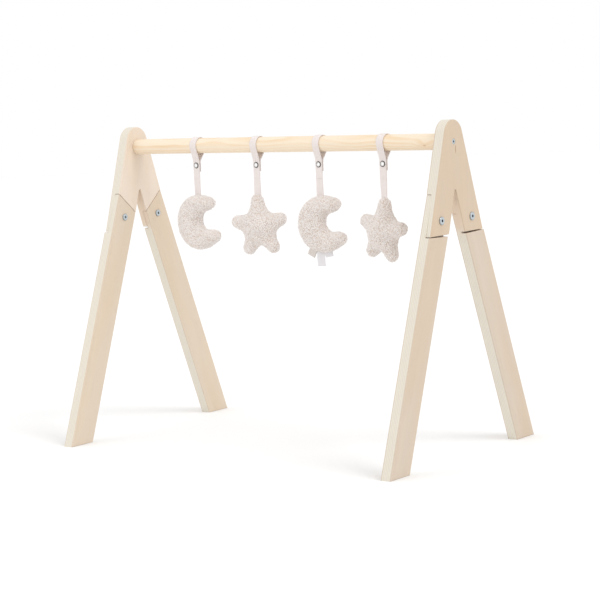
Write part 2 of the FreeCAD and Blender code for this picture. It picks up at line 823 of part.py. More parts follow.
def star_outline(sketch, inset):
    """A five-pointed star with round tips, its top tip at the origin, drawn inset from its edge."""
    tip = f"(Sizes.star_tip_radius - {inset})"
    reach = "(Sizes.star_radius - Sizes.star_tip_radius)"
    corners = []
    arcs = {}
    for arm, middle in enumerate(STAR_ARMS):
        following = STAR_ARMS[arm + 1] if arm < 4 else "(360 + 90)"
        centre_x = f"{reach} * cos({middle})"
        centre_y = f"({reach} * sin({middle}) - Sizes.star_radius)"
        arcs[3 * arm] = (tip, centre_x, centre_y, "left")
        for way in (-1, 1):
            angle = f"({middle} + {way} * (90 - Sizes.star_arm_taper))"
            touch = (f"{centre_x} + {tip} * cos{angle}", f"{centre_y} + {tip} * sin{angle}")
            corners.append(touch)
        valley = f"(({middle} + {following}) / 2)"
        apart = f"(({following} - {middle}) / 2 + Sizes.star_arm_taper)"
        valley_reach = f"(({tip} + {reach} * sin(Sizes.star_arm_taper)) / sin({apart}))"
        corners.append(
            (
                f"{valley_reach} * cos({valley})",
                f"{valley_reach} * sin({valley}) - Sizes.star_radius",
            )
        )
    outline(sketch, corners, arcs)


def plush_body(label, toy, draw, inset, height):
    """A padded shape with round edges, turned about the vertical and tilted in its own plane."""
    body = new_body(label)
    twist = f"Sizes.{toy}_twist"
    shift = f"Sizes.{toy}_shift"
    body.setExpression("Placement.Rotation.Angle", twist)
    put(
        body,
        x=f"Sizes.{toy}_place + {shift} * cos({twist})",
        y=f"Sizes.hang_plane + {shift} * sin({twist})",
        z=height,
    )
    sketch = sketch_on(body, "XZ_Plane", "outline", tilt=f"Sizes.{toy}_tilt")
    draw(sketch, inset)
    feature = pad(
        body, sketch, "padding", f"Sizes.plush_thickness - 2 * {inset}", both_ways=True
    )
    half = value(sheet, f"Sizes.plush_thickness / 2 - {inset}")
    if draw is star_outline:
        valleys = star_valleys(feature, toy)
        radius = f"Sizes.star_notch_fillet + {inset}"
        feature = dress(body, feature, "Fillet", valleys, "Radius", radius, "valleys")
    names = edges_where(
        feature, lambda edge: in_plane(edge, "Y", half) or in_plane(edge, "Y", -half)
    )
    narrowest = "min(Sizes.moon_tip_radius; Sizes.star_tip_radius) - Sizes.tip_land"
    edge = f"min(Sizes.plush_edge; {narrowest})"
    dress(body, feature, "Fillet", names, "Radius", f"{edge} - {inset}", "round_edge")
    return body


def star_valleys(feature, toy):
    """Edges across the star that lie in the valleys between its arms."""
    tilt = math.radians(value(sheet, f"Sizes.{toy}_tilt"))
    radius = value(sheet, "Sizes.star_radius")
    valley_limit = value(sheet, "Sizes.star_radius - 2 * Sizes.star_tip_radius")

    def is_valley(edge):
        box = edge.BoundBox
        crosses = box.YLength > NEAR and box.XLength < NEAR and box.ZLength < NEAR
        away = math.hypot(box.XMin - radius * math.sin(tilt), box.ZMin + radius * math.cos(tilt))
        return crosses and away < valley_limit

    return edges_where(feature, is_valley)


def plush(toy, draw, height):
    """A cover of pile fabric round a stuffing that fills it."""
    shell = plush_body(f"{toy}_shell", toy, draw, "0", height)
    stuffing = plush_body(f"{toy}_stuffing", toy, draw, "Sizes.cover_thickness", height)
    cover = doc.addObject("Part::Cut", f"{toy}_cover")
    cover.Base = shell
    cover.Tool = stuffing
    doc.recompute()
    keep(cover, f"{toy}_cover")
    keep(stuffing, f"{toy}_stuffing")


def sewn_strip(toy, label, angle, width, length, thickness, hang):
    """A strip of fabric that leaves the moon's edge at an angle, as a thin box.

    hang is the strip's own direction, measured as the angle is: anticlockwise from the moon's +X.
    """
    body = new_body(f"{toy}_{label}")
    twist = f"Sizes.{toy}_twist"
    body.setExpression("Placement.Rotation.Angle", twist)
    shift = f"Sizes.{toy}_shift"
    reach = "(Sizes.moon_radius + Sizes.sewing_gap)"
    put(
        body,
        x=f"Sizes.{toy}_place + ({shift} + {reach} * cos({angle})) * cos({twist})",
        y=f"Sizes.hang_plane + ({shift} + {reach} * cos({angle})) * sin({twist})",
        z=f"{plush_top(toy)} - Sizes.moon_radius + {reach} * sin({angle})",
    )
    sketch = sketch_on(body, "XZ_Plane", "outline", tilt=hang)
    corners = [
        ("0", f"-1 * {width} / 2"),
        (length, f"-1 * {width} / 2"),
        (length, f"{width} / 2"),
        ("0", f"{width} / 2"),
    ]
    outline(sketch, corners)
    pad(body, sketch, "strip", thickness, both_ways=True)
    keep(body, f"{toy}_{label}")


INNER_FACE = "Sizes.bar_length / 2"
OUTER_FACE = "(Sizes.bar_length / 2 + Sizes.plate_thickness)"

# The left frame is the right frame turned half a turn, so its front and back change places.
for end, turn, way in (("right", 0, 1), ("left", 180, -1)):
    head(f"{end}_head", turn, f"{way} * {INNER_FACE}")
    leg(f"{end}_front_leg", turn, f"{way} * {INNER_FACE}", -way)
    leg(f"{end}_back_leg", turn, f"{way} * {INNER_FACE}", way)
crossbar()

bolts = []
nuts = []
screws = []
inserts = []
for end, turn, way in (("right", 0, 1), ("left", 180, -1)):
    outer = f"{way} * {OUTER_FACE}"
    inner = f"{way} * {INNER_FACE}"
    screws.append(bar_screw(f"{end}_bar_screw", turn, outer))
    inserts.append(bar_insert(f"{end}_bar_insert", turn, inner))
    for place, side in (("front", -1), ("back", 1)):
        spread = f"{side} * {BOLT_SPREAD}"
        bolts.append(leg_bolt(f"{end}_{place}_bolt", turn, outer, spread))
        nuts.append(sleeve_nut(f"{end}_{place}_nut", turn, inner, spread))
group("leg_bolts", bolts)
group("leg_sleeve_nuts", nuts)
group("bar_screws", screws)
group("bar_inserts", inserts)

for toy in ("moon_a", "star_a", "moon_b", "star_b"):
    strap_loop(toy)
    strap_tail(toy)
    hanging_strap(toy)
    press_stud(toy)
    if toy.startswith("moon"):
        plush(toy, moon_outline, f"({plush_top(toy)} - Sizes.moon_radius)")
    else:
        plush(toy, star_outline, plush_top(toy))

sewn_strip(
    "moon_b",
    "fabric_tab",
    "Sizes.tab_angle",
    "Sizes.tab_width",
    "Sizes.tab_length",
    "Sizes.tab_thickness",
    "Sizes.tab_angle",
)
sewn_strip(
    "moon_b",
    "care_label",
    "Sizes.label_angle",
    "Sizes.label_width",
    "Sizes.label_length",
    "Sizes.label_thickness",
    "270",
)
sewn_strip(
    "moon_b",
    "side_label",
    "Sizes.side_label_angle",
    "Sizes.label_width",
    "Sizes.side_label_length",
    "Sizes.label_thickness",
    "Sizes.side_label_angle",
)

doc.recompute()
for thing in doc.Objects:
    if "Invalid" in thing.State or "Error" in thing.State:
        raise RuntimeError(f"{thing.Name} failed: {thing.State}")
for node in nodes:
    if node.Shape.isNull() or not node.Shape.isValid():
        raise RuntimeError(f"{node.Label} has no valid shape")

os.makedirs("parts", exist_ok=True)
for node in nodes:
    node.Shape.exportStep(f"parts/{node.Label}.step")
print(f"{len(nodes)} nodes")
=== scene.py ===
"""Looks of an activity play gym: plywood frames, pine bar, cotton tapes, press studs and plush toys.

Metres. +X runs along the crossbar, +Y from the front feet to the back feet, +Z up.
"""
import math

import bpy
import numpy as np
from bpy.props import FloatProperty, FloatVectorProperty, IntProperty, PointerProperty
from mathutils import Euler, Matrix, Vector


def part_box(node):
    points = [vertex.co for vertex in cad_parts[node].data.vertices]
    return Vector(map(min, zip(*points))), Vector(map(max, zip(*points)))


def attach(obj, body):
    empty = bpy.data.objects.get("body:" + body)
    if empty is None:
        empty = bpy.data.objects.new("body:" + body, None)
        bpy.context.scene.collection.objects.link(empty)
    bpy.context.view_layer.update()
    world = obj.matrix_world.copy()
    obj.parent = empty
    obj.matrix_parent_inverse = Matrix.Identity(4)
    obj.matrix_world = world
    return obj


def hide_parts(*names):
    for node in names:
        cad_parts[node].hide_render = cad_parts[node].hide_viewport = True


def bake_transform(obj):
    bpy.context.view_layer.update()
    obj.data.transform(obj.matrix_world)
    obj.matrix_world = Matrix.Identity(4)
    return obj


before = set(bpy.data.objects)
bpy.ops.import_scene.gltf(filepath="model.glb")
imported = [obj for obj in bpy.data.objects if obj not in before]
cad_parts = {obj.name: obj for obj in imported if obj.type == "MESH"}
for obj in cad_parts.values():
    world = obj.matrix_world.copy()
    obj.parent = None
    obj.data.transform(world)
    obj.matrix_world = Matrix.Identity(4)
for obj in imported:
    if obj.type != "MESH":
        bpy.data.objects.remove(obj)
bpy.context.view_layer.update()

bl_info = {
    "name": "Play Gym",
    "version": (1, 0, 0),
    "blender": (4, 5, 0),
    "location": "View3D > Sidebar > Play Gym",
    "description": "Wood, tape and plush finishes for an activity play gym",
    "category": "Object",
}

MM = 0.001
UP = math.pi / 2
SEED = 7
HALVINGS = 26
RING_POWER = 0.88
MOONS = ("moon_a", "moon_b")
TOYS = ("moon_a", "star_a", "moon_b", "star_b")

# ---- places read from the frame ----
HEAD_LOW, HEAD_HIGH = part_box("right_head")
INNER_FACE = HEAD_LOW.x
PLATE_THICKNESS = HEAD_HIGH.x - HEAD_LOW.x
BAR_LOW, BAR_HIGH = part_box("crossbar")
BAR_RADIUS = (BAR_HIGH.y - BAR_LOW.y) / 2
TAPE_LOW, TAPE_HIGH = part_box("moon_a_hanging_strap")
BAR_HEIGHT = (BAR_HIGH.z + BAR_LOW.z) / 2


def middle(node):
    """Middle of a node's box."""
    low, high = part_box(node)
    return (low + high) / 2


# ---- sizes and colours ----
def length(name, description, default):
    """A length property in metres."""
    return FloatProperty(
        name=name, description=description, default=default, unit="LENGTH", precision=5
    )


def colour(name, description, default):
    """A colour property, as linear red, green and blue."""
    return FloatVectorProperty(
        name=name, description=description, default=default, subtype="COLOR", min=0, max=1
    )


def amount(name, description, default):
    """A plain number property."""
    return FloatProperty(name=name, description=description, default=default)


def angle(name, description, degrees):
    """An angle property, given in degrees."""
    return FloatProperty(
        name=name, description=description, default=math.radians(degrees), subtype="ANGLE"
    )


def angles(name, description, degrees):
    """A property with several angles, given in degrees."""
    return FloatVectorProperty(
        name=name,
        description=description,
        size=len(degrees),
        default=[math.radians(turn) for turn in degrees],
    )


def spot(name, description, default):
    """A place property in metres."""
    return FloatVectorProperty(
        name=name, description=description, default=default, subtype="XYZ", unit="LENGTH"
    )


class GymWood(bpy.types.PropertyGroup):
    """Plywood and pine."""

    plies: IntProperty(name="Plies", description="Veneers in the plywood", default=13, min=3)
    leg_lean: angle("Leg lean", "Lean of the legs, which their face grain follows", 20.2)
    right_head: colour("Right head", "Face veneer of the right head", (0.60, 0.48, 0.36))
    left_head: colour("Left head", "Face veneer of the left head", (0.74, 0.63, 0.525))
    right_legs: colour("Right legs", "Face veneer of the right legs", (0.60, 0.505, 0.41))
    left_legs: colour("Left legs", "Face veneer of the left legs", (0.65, 0.545, 0.43))
    warm: amount("Warmth", "How much warmer the veneer's patches are", 0.10)
    edge: colour("Edge", "Inner veneers with the grain along the edge", (0.75, 0.705, 0.61))
    edge_end: colour("End grain", "Inner veneers that end at the edge", (0.68, 0.625, 0.53))
    glue: colour("Glue line", "Glue lines between the veneers", (0.52, 0.34, 0.20))
    # Painted shade: warm brown for the shade and bounced light on the walls of the crotch between the
    # legs.
    crotch: colour("Crotch", "Walls of the crotch between the legs", (0.72, 0.54, 0.40))
    # Painted shade: dark brown for the shade in the seam gaps of the level cuts below the bar. The same
    # colour marks the fleck by the screw.
    fleck_and_seam_shade: colour("Scorch", "Cuts browned by the saw, and the fleck", (0.36, 0.20, 0.11))
    pine: colour("Pine", "Early wood of the bar", (0.84, 0.715, 0.555))
    pine_ring: colour("Pine rings", "Late wood of the bar", (0.78, 0.555, 0.33))
    knot: colour("Knot", "Knot near the right end of the bar", (0.42, 0.20, 0.09))
    ring_gap: length("Ring gap", "Distance between the bar's growth rings", 0.0042)
    # Half width of the band of painted shade on the crotch's walls.
    crotch_shade_half: length("Crotch half width", "Half the width of the browned crotch", 0.026)
    # How far up the head the painted shade on the cuts reaches.
    cut_shade_height: length("Cut height", "How far up the head its cuts are browned", 0.060)
    fleck_width: length("Fleck width", "Half the width of the fleck", 0.0011)
    fleck_reach: length("Fleck reach", "Half the length of the fleck", 0.008)
    fleck_aside: length("Fleck aside", "From the screw's axis to the fleck", 0.0038)
    fleck_drop: length("Fleck drop", "From under the screw to the fleck's middle", 0.0075)
    knot_place: length("Knot place", "From the bar's middle to its knot", 0.2825)
    knot_reach: length("Knot reach", "Distance in which the knot bends the rings", 0.012)
    pith_back: length("Pith back", "From the bar's axis back to the pith", 0.015)
    pith_low: length("Pith low", "From the bar's axis down to the pith", 0.021)


class GymMetal(bpy.types.PropertyGroup):
    """Plated steel of the bolts, screws and press studs."""

    zinc: colour("Zinc", "Bolts, sleeve nuts, screws and inserts", (0.50, 0.545, 0.57))
    # Painted shade: near-black colour for the shade inside the bolts' hexagon sockets.
    socket: colour("Socket", "Inside of the bolts' hexagon sockets", (0.05, 0.075, 0.09))
    nickel: colour("Nickel", "Press studs", (0.86, 0.86, 0.85))
    # Painted shade and dark reflection: near-black colour towards the rim of a stud's cap.
    rim_shade: colour("Tarnish", "Rim of a stud's cap", (0.07, 0.055, 0.05))
    cap_dish: length("Cap dish", "Radius of the dish in a stud's cap", 0.0029)
    cap_bright: length("Cap bright", "Radius where a cap starts to darken", 0.0030)
    cap_rim: length("Cap rim", "Radius where a cap is darkest", 0.0040)


class GymTape(bpy.types.PropertyGroup):
    """Cotton tapes that carry the toys."""

    width: length("Width", "Width of the tape", TAPE_HIGH.x - TAPE_LOW.x)
    thickness: length("Thickness", "Thickness of the tape", 0.0015)
    slack: length("Slack", "Gap between the bar and the tape", 0.0003)
    join: length("Join", "Height under the snap where two lengths of tape meet", 0.0225)
    sewn_in: length("Sewn in", "Length of tape hidden inside the plush", 0.006)
    front_angle: angle("Front angle", "Lean of the tape from the bar to the press stud", 19)
    back_angle: angle("Back angle", "Lean of the free end behind the bar", 40)
    bend: length("Bend", "Length of tape in which it turns down at a press stud", 0.007)
    step: length("Step", "Distance between the rows of a tape's mesh", 0.0008)
    twill: length("Twill", "Distance between the twill's diagonals", 0.0009)
    base: colour("Tape", "Cotton twill", (0.80, 0.725, 0.70))


class GymPlush(bpy.types.PropertyGroup):
    """Stuffed moons and stars."""

    twists: angles("Twists", "Turn of each toy about its tape", (-3.1, 7.5, 5.6, -13.6))
    tilts: angles("Tilts", "Tilt of each toy in its own plane", (10.4, 3.1, 9.4, -7.5))
    shifts: FloatVectorProperty(
        name="Shifts",
        description="Shift of each toy along its plane",
        size=4,
        default=(0.0008, -0.0024, 0.0039, 0.0014),
        unit="LENGTH",
    )
    moon_half_thickness: length("Moon half thickness", "Half a moon's greatest thickness", 0.0158)
    moon_fullness: amount("Moon fullness", "How late a moon thins towards its tips", 0.37)
    moon_radius: length("Moon radius", "Outer radius of a moon", 0.0448)
    moon_hollow_offset: length("Hollow offset", "From a moon's middle to its hollow's", 0.0179)
    moon_hollow_radius: length("Hollow radius", "Radius of a moon's hollow", 0.0158)
    moon_tip_angle: angle("Moon tip angle", "Place of the tips round the hollow's middle", 84)
    star_half_thickness: length("Star half thickness", "Half a star's greatest thickness", 0.0172)
    star_radius: length("Star radius", "From a star's middle to its tips", 0.0513)
    star_tip_radius: length("Star tip radius", "Radius of a star's tips", 0.0102)
    star_taper: angle("Star taper", "Half the angle between the two sides of an arm", 11)
    star_droops: angles("Star droops", "Droop of the side arms and of the low arms", (5.2, 2.9))
    star_valley: length("Star valley", "Softness of the valleys between the arms", 0.0129)
    voxel: length("Mesh size", "Distance between the vertices of the pile", 0.00047)
    clump: length("Clump", "Distance between the clumps of the pile", 0.0075)
    clump_height: length("Clump height", "Height of the clumps", 0.0009)
    nub: length("Nub", "Distance between the curls of the pile", 0.0023)
    nub_height: length("Nub height", "Height of the curls", 0.0015)
    curl: length("Fine curl", "Distance between the finer curls", 0.0012)
    curl_height: length("Fine curl height", "Height of the finer curls", 0.0005)
    inset: length("Inset", "Depth of the backing under the outline", 0.0014)
    tip: colour("Pile tips", "Colour of the curls", (0.77, 0.715, 0.683))
    # Painted shade: the darker colour between the curls, where the pile shades itself.
    root: colour("Pile roots", "Colour between the curls", (0.60, 0.48, 0.395))
    tab_angle: angle("Tab angle", "Place of the tab round the moon", 243)
    label_angle: angle("Label angle", "Place of the long label round the moon", 260)
    side_label_angle: angle("Side label angle", "Place of the short label round the moon", 279)
    sewn_in: length("Sewn in", "Length of a tab or label hidden in the seam", 0.003)
    tab_width: length("Tab width", "Width of the tab", 0.014)
    tab_reach: length("Tab reach", "How far the folded tab stands out", 0.0115)
    label_width: length("Label width", "Width of both labels", 0.0145)
    label_drop: length("Label drop", "How far the long label hangs", 0.0225)
    side_label_reach: length("Side label reach", "How far the short label stands out", 0.0075)
    tab: colour("Tab", "Fabric of the tab", (0.70, 0.645, 0.60))
    label: colour("Label", "Satin of the labels", (0.74, 0.72, 0.735))


class GymStudio(bpy.types.PropertyGroup):
    """Floor, light and camera."""

    floor_radius: length("Floor radius", "Radius of the round floor", 9.0)
    floor: colour("Floor", "Matt white floor", (0.885, 0.885, 0.885))
    sky: amount("Sky", "Strength of the even light all round", 1.0)
    key_strength: amount("Key strength", "Light from high on the right, in watts a square metre", 0.8)
    key_softness: angle("Key softness", "Angle that the key light fills", 30)
    key_place: spot("Key place", "Where the key light shines from", (1.6, 0.0, 1.85))
    front_power: amount("Front power", "Softbox on the left in front, in watts", 17)
    front_size: length("Front size", "Side of the softbox", 2.4)
    front_place: spot("Front place", "Middle of the softbox", (-2.0, -3.0, 2.0))
    lens: amount("Lens", "Focal length in millimetres", 121.943)
    sensor: amount("Sensor", "Width of the camera's sensor in millimetres", 36)
    camera_place: spot("Camera", "Place of the camera", (2.013145, -2.550019, 0.608278))
    camera_turn: angles("Camera turn", "Heading, dip and roll", (37.985, 6.661, -2.731))


GROUPS = {
    "gym_wood": GymWood,
    "gym_metal": GymMetal,
    "gym_tape": GymTape,
    "gym_plush": GymPlush,
    "gym_studio": GymStudio,
}


# ---- shader maths ----
class Socket:
    """An output of a shader node. An expression on it adds its Math nodes to the tree."""

    def __init__(self, tree, output=None):
        self.tree = tree
        self.output = output

    def node(self, kind, settings, values, output=0):
        """Add a node, make its settings, fill or link its inputs, and give one of its outputs."""
        made = self.tree.nodes.new("ShaderNode" + kind)
        for name, setting in settings.items():
            setattr(made, name, setting)
        for name, given in values.items():
            if isinstance(given, Socket):
                self.tree.links.new(given.output, made.inputs[name])
            else:
                made.inputs[name].default_value = given
        return Socket(self.tree, made.outputs[output]) if made.outputs else None

    def math(self, operation, *others):
        """One Math node on this value and up to two others."""
        values = dict(enumerate((self, *others)))
        return self.node("Math", {"operation": operation}, values)

    def __add__(self, other):
        return self.math("ADD", other)

    __radd__ = __add__

    def __sub__(self, other):
        return self.math("SUBTRACT", other)

    def __rsub__(self, other):
        return (self * -1) + other

    def __mul__(self, other):
        return self.math("MULTIPLY", other)

    __rmul__ = __mul__

    def __truediv__(self, other):
        return self.math("DIVIDE", other)

    def __pow__(self, other):
        return self.math("POWER", other)

    def above(self, start, end):
        """0 below start, 1 past end, and a smooth rise between them."""
        settings = {"interpolation_type": "SMOOTHSTEP"}
        return self.node("MapRange", settings, {0: self, 1: start, 2: end})

    def split(self):
        """The three parts of a vector."""
        parts = self.node("SeparateXYZ", {}, {0: self})
        return [Socket(self.tree, output) for output in parts.output.node.outputs]

    def join(self, x, y, z):
        """A vector from three values."""
        return self.node("CombineXYZ", {}, {0: x, 1: y, 2: z})

    def noise(self, place, scale, detail=2.0, roughness=0.5):
        """Fractal noise from 0 to 1, with scale in features per unit of place."""
        values = {"Vector": place, "Scale": scale, "Detail": detail, "Roughness": roughness}
        return self.node("TexNoise", {}, values)

    def grain(self, parts, scales, detail=2.0, roughness=0.5):
        """Noise on a place whose parts are each stretched by their own scale."""
        stretched = [part * scale for part, scale in zip(parts, scales)]
        return self.noise(self.join(*stretched), 1.0, detail, roughness)

    def mix(self, first, second):
        """The first colour where this value is 0 and the second where it is 1."""
        return self.node("Mix", {"data_type": "RGBA"}, {0: self, 6: first, 7: second}, 2)


def opaque(shade):
    """A colour with full alpha."""
    return (*shade, 1.0)


def new_material(name):
    """An empty node material and the start of its expressions."""
    material = bpy.data.materials.new(name)
    material.use_nodes = True
    material.node_tree.nodes.clear()
    return material, Socket(material.node_tree)


def surface(start, base, roughness, height, depth, **fixed):
    """End a material: a Principled shader with a bump of a depth in metres."""
    values = {"Base Color": base, "Roughness": roughness}
    values.update({name.replace("_", " "): given for name, given in fixed.items()})
    values["Normal"] = start.node("Bump", {}, {"Strength": 1.0, "Distance": depth, "Height": height})
    shader = start.node("BsdfPrincipled", {}, values)
    start.node("OutputMaterial", {}, {"Surface": shader})


def object_place(start, turn=0.0):
    """Object coordinates in metres, turned about X."""
    place = start.node("TexCoord", {}, {}, 3)
    return start.node("Mapping", {}, {"Vector": place, "Rotation": (turn, 0, 0)})


# ---- wood ----
# Features of each noise per metre through a plate, across its grain and along it. Where the first
# is small it multiplies the side, -1 or 1, so that the two ends of the gym differ.
BROAD_PATCHES = (0.4, 16, 3.5)
FACE_FIBRE = (300, 900, 14)
FACE_PORES = (1, 520, 42)
FACE_FLAME = (3, 60, 11)
SAW_MARKS = (0, 640, 26)
CUT_ENDS = (900, 1500, 900)
SAW_SLANT = 0.16

# Features of each noise per metre along the bar and across it both ways.
RING_WANDER = (5.5, 14, 14)
BAR_FIBRE = (16, 900, 900)
BAR_BLUSH = (9, 30, 30)


def plywood(name, veneer_shade, lean=0.0, fleck=None):
    """Birch plywood with its face grain leaning from the vertical, and a dark fleck if it has a place.

    The veneer is the depth from the inner face over the veneer's thickness, rounded down. Even
    veneers have their grain along the plate and odd ones across it, so at an edge they end.
    """
    wood = bpy.context.scene.gym_wood
    material, start = new_material(name)
    across_plate, across, along = object_place(start, lean).split()
    depth = across_plate.math("ABSOLUTE") - INNER_FACE
    veneer = PLATE_THICKNESS / wood.plies
    layer = depth / veneer
    odd = (layer / 2).math("FRACT").above(0.46, 0.54)
    inside = layer.above(0.9, 1.1) * (1 - layer.above(wood.plies - 1.1, wood.plies - 0.9))
    seam = (layer.math("FRACT") - 0.5).math("ABSOLUTE").above(0.44, 0.5)

    side = across_plate.math("SIGN")
    broad = start.grain((side, across, along), BROAD_PATCHES, 3)
    fibre = start.grain((depth, across, along), FACE_FIBRE, 3, 0.6)
    pores = start.grain((side, across, along), FACE_PORES, 1).above(0.66, 0.76)
    flame = start.grain((side, across, along), FACE_FLAME)
    red, green, blue = veneer_shade
    warmer = (red, green * (1 - 0.4 * wood.warm), blue * (1 - wood.warm))
    face = broad.above(0.36, 0.66).mix(opaque(veneer_shade), opaque(warmer))
    shade = 0.90 + fibre * 0.11 + flame * 0.07 - pores * 0.07
    face = face_shade(start, face, shade)

    saw = start.grain((0.0, depth + along * SAW_SLANT, along), SAW_MARKS)
    ends = start.grain((depth, across, along), CUT_ENDS)
    long_grain = face_shade(start, opaque(wood.edge), 0.93 + saw * 0.12)
    end_grain = face_shade(start, opaque(wood.edge_end), 0.84 + ends * 0.18 + saw * 0.10)
    edge = odd.mix(long_grain, end_grain)
    edge = (seam * 0.30).mix(edge, opaque(wood.glue))
    base = inside.mix(face, edge)
    # Painted shade on the crotch's walls and in the seam gaps below the bar.
    base = painted_cut_shade(start, base, inside)
    if fleck is not None:
        off = ((across - fleck.y) / wood.fleck_width) ** 2 + ((along - fleck.z) / wood.fleck_reach) ** 2
        outer = layer.above(wood.plies - 1, wood.plies - 0.5)
        mark = (1 - off.above(0.3, 1.0)) * outer
        base = (mark * 0.9).mix(base, opaque(wood.fleck_and_seam_shade))
    relief = fibre * 0.5 + saw * inside * 0.6 - pores * 0.5 - seam * inside * 0.3
    roughness = 0.50 + fibre * 0.14 + inside * 0.12
    surface(start, base, roughness, relief, 0.12 * MM, Coat_Weight=0.04, Coat_Roughness=0.4)
    return material


def painted_cut_shade(start, base, inside):
    """Paint shade on the cuts of a plate below the bar: warm brown on the crotch's walls and dark brown
    in the seam gaps of the level cuts.

    The crotch is a band about y = 0 that starts at the head's low end. A cut is level where its
    normal is near the vertical.
    """
    wood = bpy.context.scene.gym_wood
    from_middle, height = object_place(start).split()[1:]
    level = start.node("TexCoord", {}, {}, 1).split()[2].math("ABSOLUTE").above(0.5, 0.7)
    shade_top = HEAD_LOW.z + wood.cut_shade_height
    blur = 10 * MM
    below_bar = 1 - height.above(shade_top, shade_top + blur)
    past_low_end = height.above(HEAD_LOW.z - blur, HEAD_LOW.z + blur)
    in_band = 1 - from_middle.math("ABSOLUTE").above(wood.crotch_shade_half, wood.crotch_shade_half + blur)
    crotch = in_band * past_low_end
    # Painted shade: warm brown on the crotch's walls, where the legs shade each other.
    base = (crotch * inside * below_bar * 0.6).mix(base, opaque(wood.crotch))
    # Painted shade: dark brown in the seam gaps of the level cuts.
    return (level * inside * below_bar * 0.7).mix(base, opaque(wood.fleck_and_seam_shade))


def face_shade(start, base, shade):
    """A colour made darker or lighter by a value near 1."""
    grey = start.join(shade, shade, shade)
    settings = {"data_type": "RGBA", "blend_type": "MULTIPLY"}
    return start.node("Mix", settings, {0: 1.0, 6: base, 7: grey}, 2)


def pine(name):
    """Turned pine: rings about a pith line that runs nearly along the bar, and one knot.

    The ring number is the distance from the pith, bent by noise and by the knot, over the ring
    gap. Within a ring the late wood darkens slowly and stops sharply.
    """
    wood = bpy.context.scene.gym_wood
    material, start = new_material(name)
    x, y, z = object_place(start).split()
    knot = Vector((wood.knot_place, -0.92 * BAR_RADIUS, BAR_HEIGHT - 0.40 * BAR_RADIUS))
    apart = (((x - knot.x) / 2.2) ** 2 + (y - knot.y) ** 2 + (z - knot.z) ** 2) ** 0.5
    near = 1 - apart.above(0.0, wood.knot_reach)
    wander = start.grain((x, y, z), RING_WANDER) - 0.5
    drift = z - (BAR_HEIGHT - wood.pith_low) + x * 0.022
    from_pith = ((y - wood.pith_back) ** 2 + drift**2) ** 0.5
    ring = (from_pith + wander * (17 * MM) + near * (5 * MM)) / wood.ring_gap
    phase = ring.math("FRACT")
    late = phase.above(0.15, 0.85) * (1 - phase.above(0.88, 1.0))
    fibre = start.grain((x, y, z), BAR_FIBRE, 3, 0.6)
    blush = start.grain((x, y, z), BAR_BLUSH).above(0.35, 0.75)
    base = (late * (0.28 + blush * 0.5)).mix(opaque(wood.pine), opaque(wood.pine_ring))
    base = face_shade(start, base, 0.93 + fibre * 0.12)
    heart = 1 - apart.above(0.5 * MM, 1.9 * MM)
    base = (heart * 0.6).mix(base, opaque(wood.knot))
    base = (near * 0.25).mix(base, opaque(wood.pine_ring))
    height = fibre * 0.6 + late * 0.3
    surface(start, base, 0.46 + fibre * 0.12, height, 0.08 * MM, Coat_Weight=0.06, Coat_Roughness=0.35)
    return material


def metal(name, base, roughness, grain):
    """Plated steel: fine turning marks and faint stains."""
    material, start = new_material(name)
    place = object_place(start)
    marks = start.noise(place, grain, 3, 0.7)
    stains = start.noise(place, grain / 12, 2)
    shade = face_shade(start, opaque(base), 0.88 + marks * 0.10 + stains * 0.12)
    rough = roughness + marks * 0.12 + stains * 0.08
    surface(start, shade, rough, marks, 0.03 * MM, Metallic=1.0)
    return material


# ---- cloth ----
# Features of each noise per metre across a tape or label and along it.
UNEVEN_YARN = (260, 90, 1)
FLUFF = (3000, 3000, 1)
SATIN_THREAD = (5200, 160, 1)
SATIN_CREASE = (120, 220, 1)


def twill(name, base, pitch, sheen):
    """Woven twill on a UV map in metres: diagonal ribs crossed by finer threads."""
    material, start = new_material(name)
    across, along = start.node("UVMap", {"uv_map": "weave"}, {}).split()[:2]
    rib = ((across + along) / pitch).math("FRACT") - 0.5
    rib = 1 - (rib * 2) ** 2
    thread = (along / (pitch * 0.5)).math("FRACT") - 0.5
    thread = 1 - (thread * 2) ** 2
    weave = rib * 0.7 + thread * 0.3
    uneven = start.grain((across, along, 0.0), UNEVEN_YARN, 3)
    fluff = start.grain((across, along, 0.0), FLUFF)
    shade = 0.86 + weave * 0.10 + uneven * 0.08 + fluff * 0.04
    height = weave + fluff * 0.4
    surface(start, face_shade(start, opaque(base), shade), 0.82 + uneven * 0.1, height, 0.16 * MM,
            Sheen_Weight=sheen, Sheen_Roughness=0.5)
    return material


def satin(name, base):
    """Satin ribbon: fine lengthwise threads with a soft gloss and a few creases."""
    material, start = new_material(name)
    across, along = start.node("UVMap", {"uv_map": "weave"}, {}).split()[:2]
    thread = start.grain((across, along, 0.0), SATIN_THREAD)
    crease = start.grain((across, along, 0.0), SATIN_CREASE)
    shade = 0.92 + thread * 0.06 + crease * 0.06
    height = thread * 0.3 + crease
    surface(start, face_shade(start, opaque(base), shade), 0.38 + thread * 0.15, height, 0.1 * MM,
            Sheen_Weight=0.1)
    return material


def pile(name):
    """Curly pile: the colour goes from a painted shade between the curls to the tip colour with the
    height of the curls.
    """
    plush = bpy.context.scene.gym_plush
    material, start = new_material(name)
    place = object_place(start)
    height = start.node("Attribute", {"attribute_name": "pile"}, {}, 2)
    patch = start.noise(place, 60, 3)
    strand = start.noise(place, 2600, 3, 0.7)
    # Painted shade: low places between the curls take the darker crevice colour, the curls' tops the
    # tip colour.
    lift = (height + strand * 0.24 - 0.12).above(-0.05, 0.62)
    base = lift.mix(opaque(plush.root), opaque(plush.tip))
    base = face_shade(start, base, 0.93 + patch * 0.10 + strand * 0.06)
    surface(start, base, 0.93, strand, 0.25 * MM, Sheen_Weight=0.35, Sheen_Roughness=0.6)
    return material


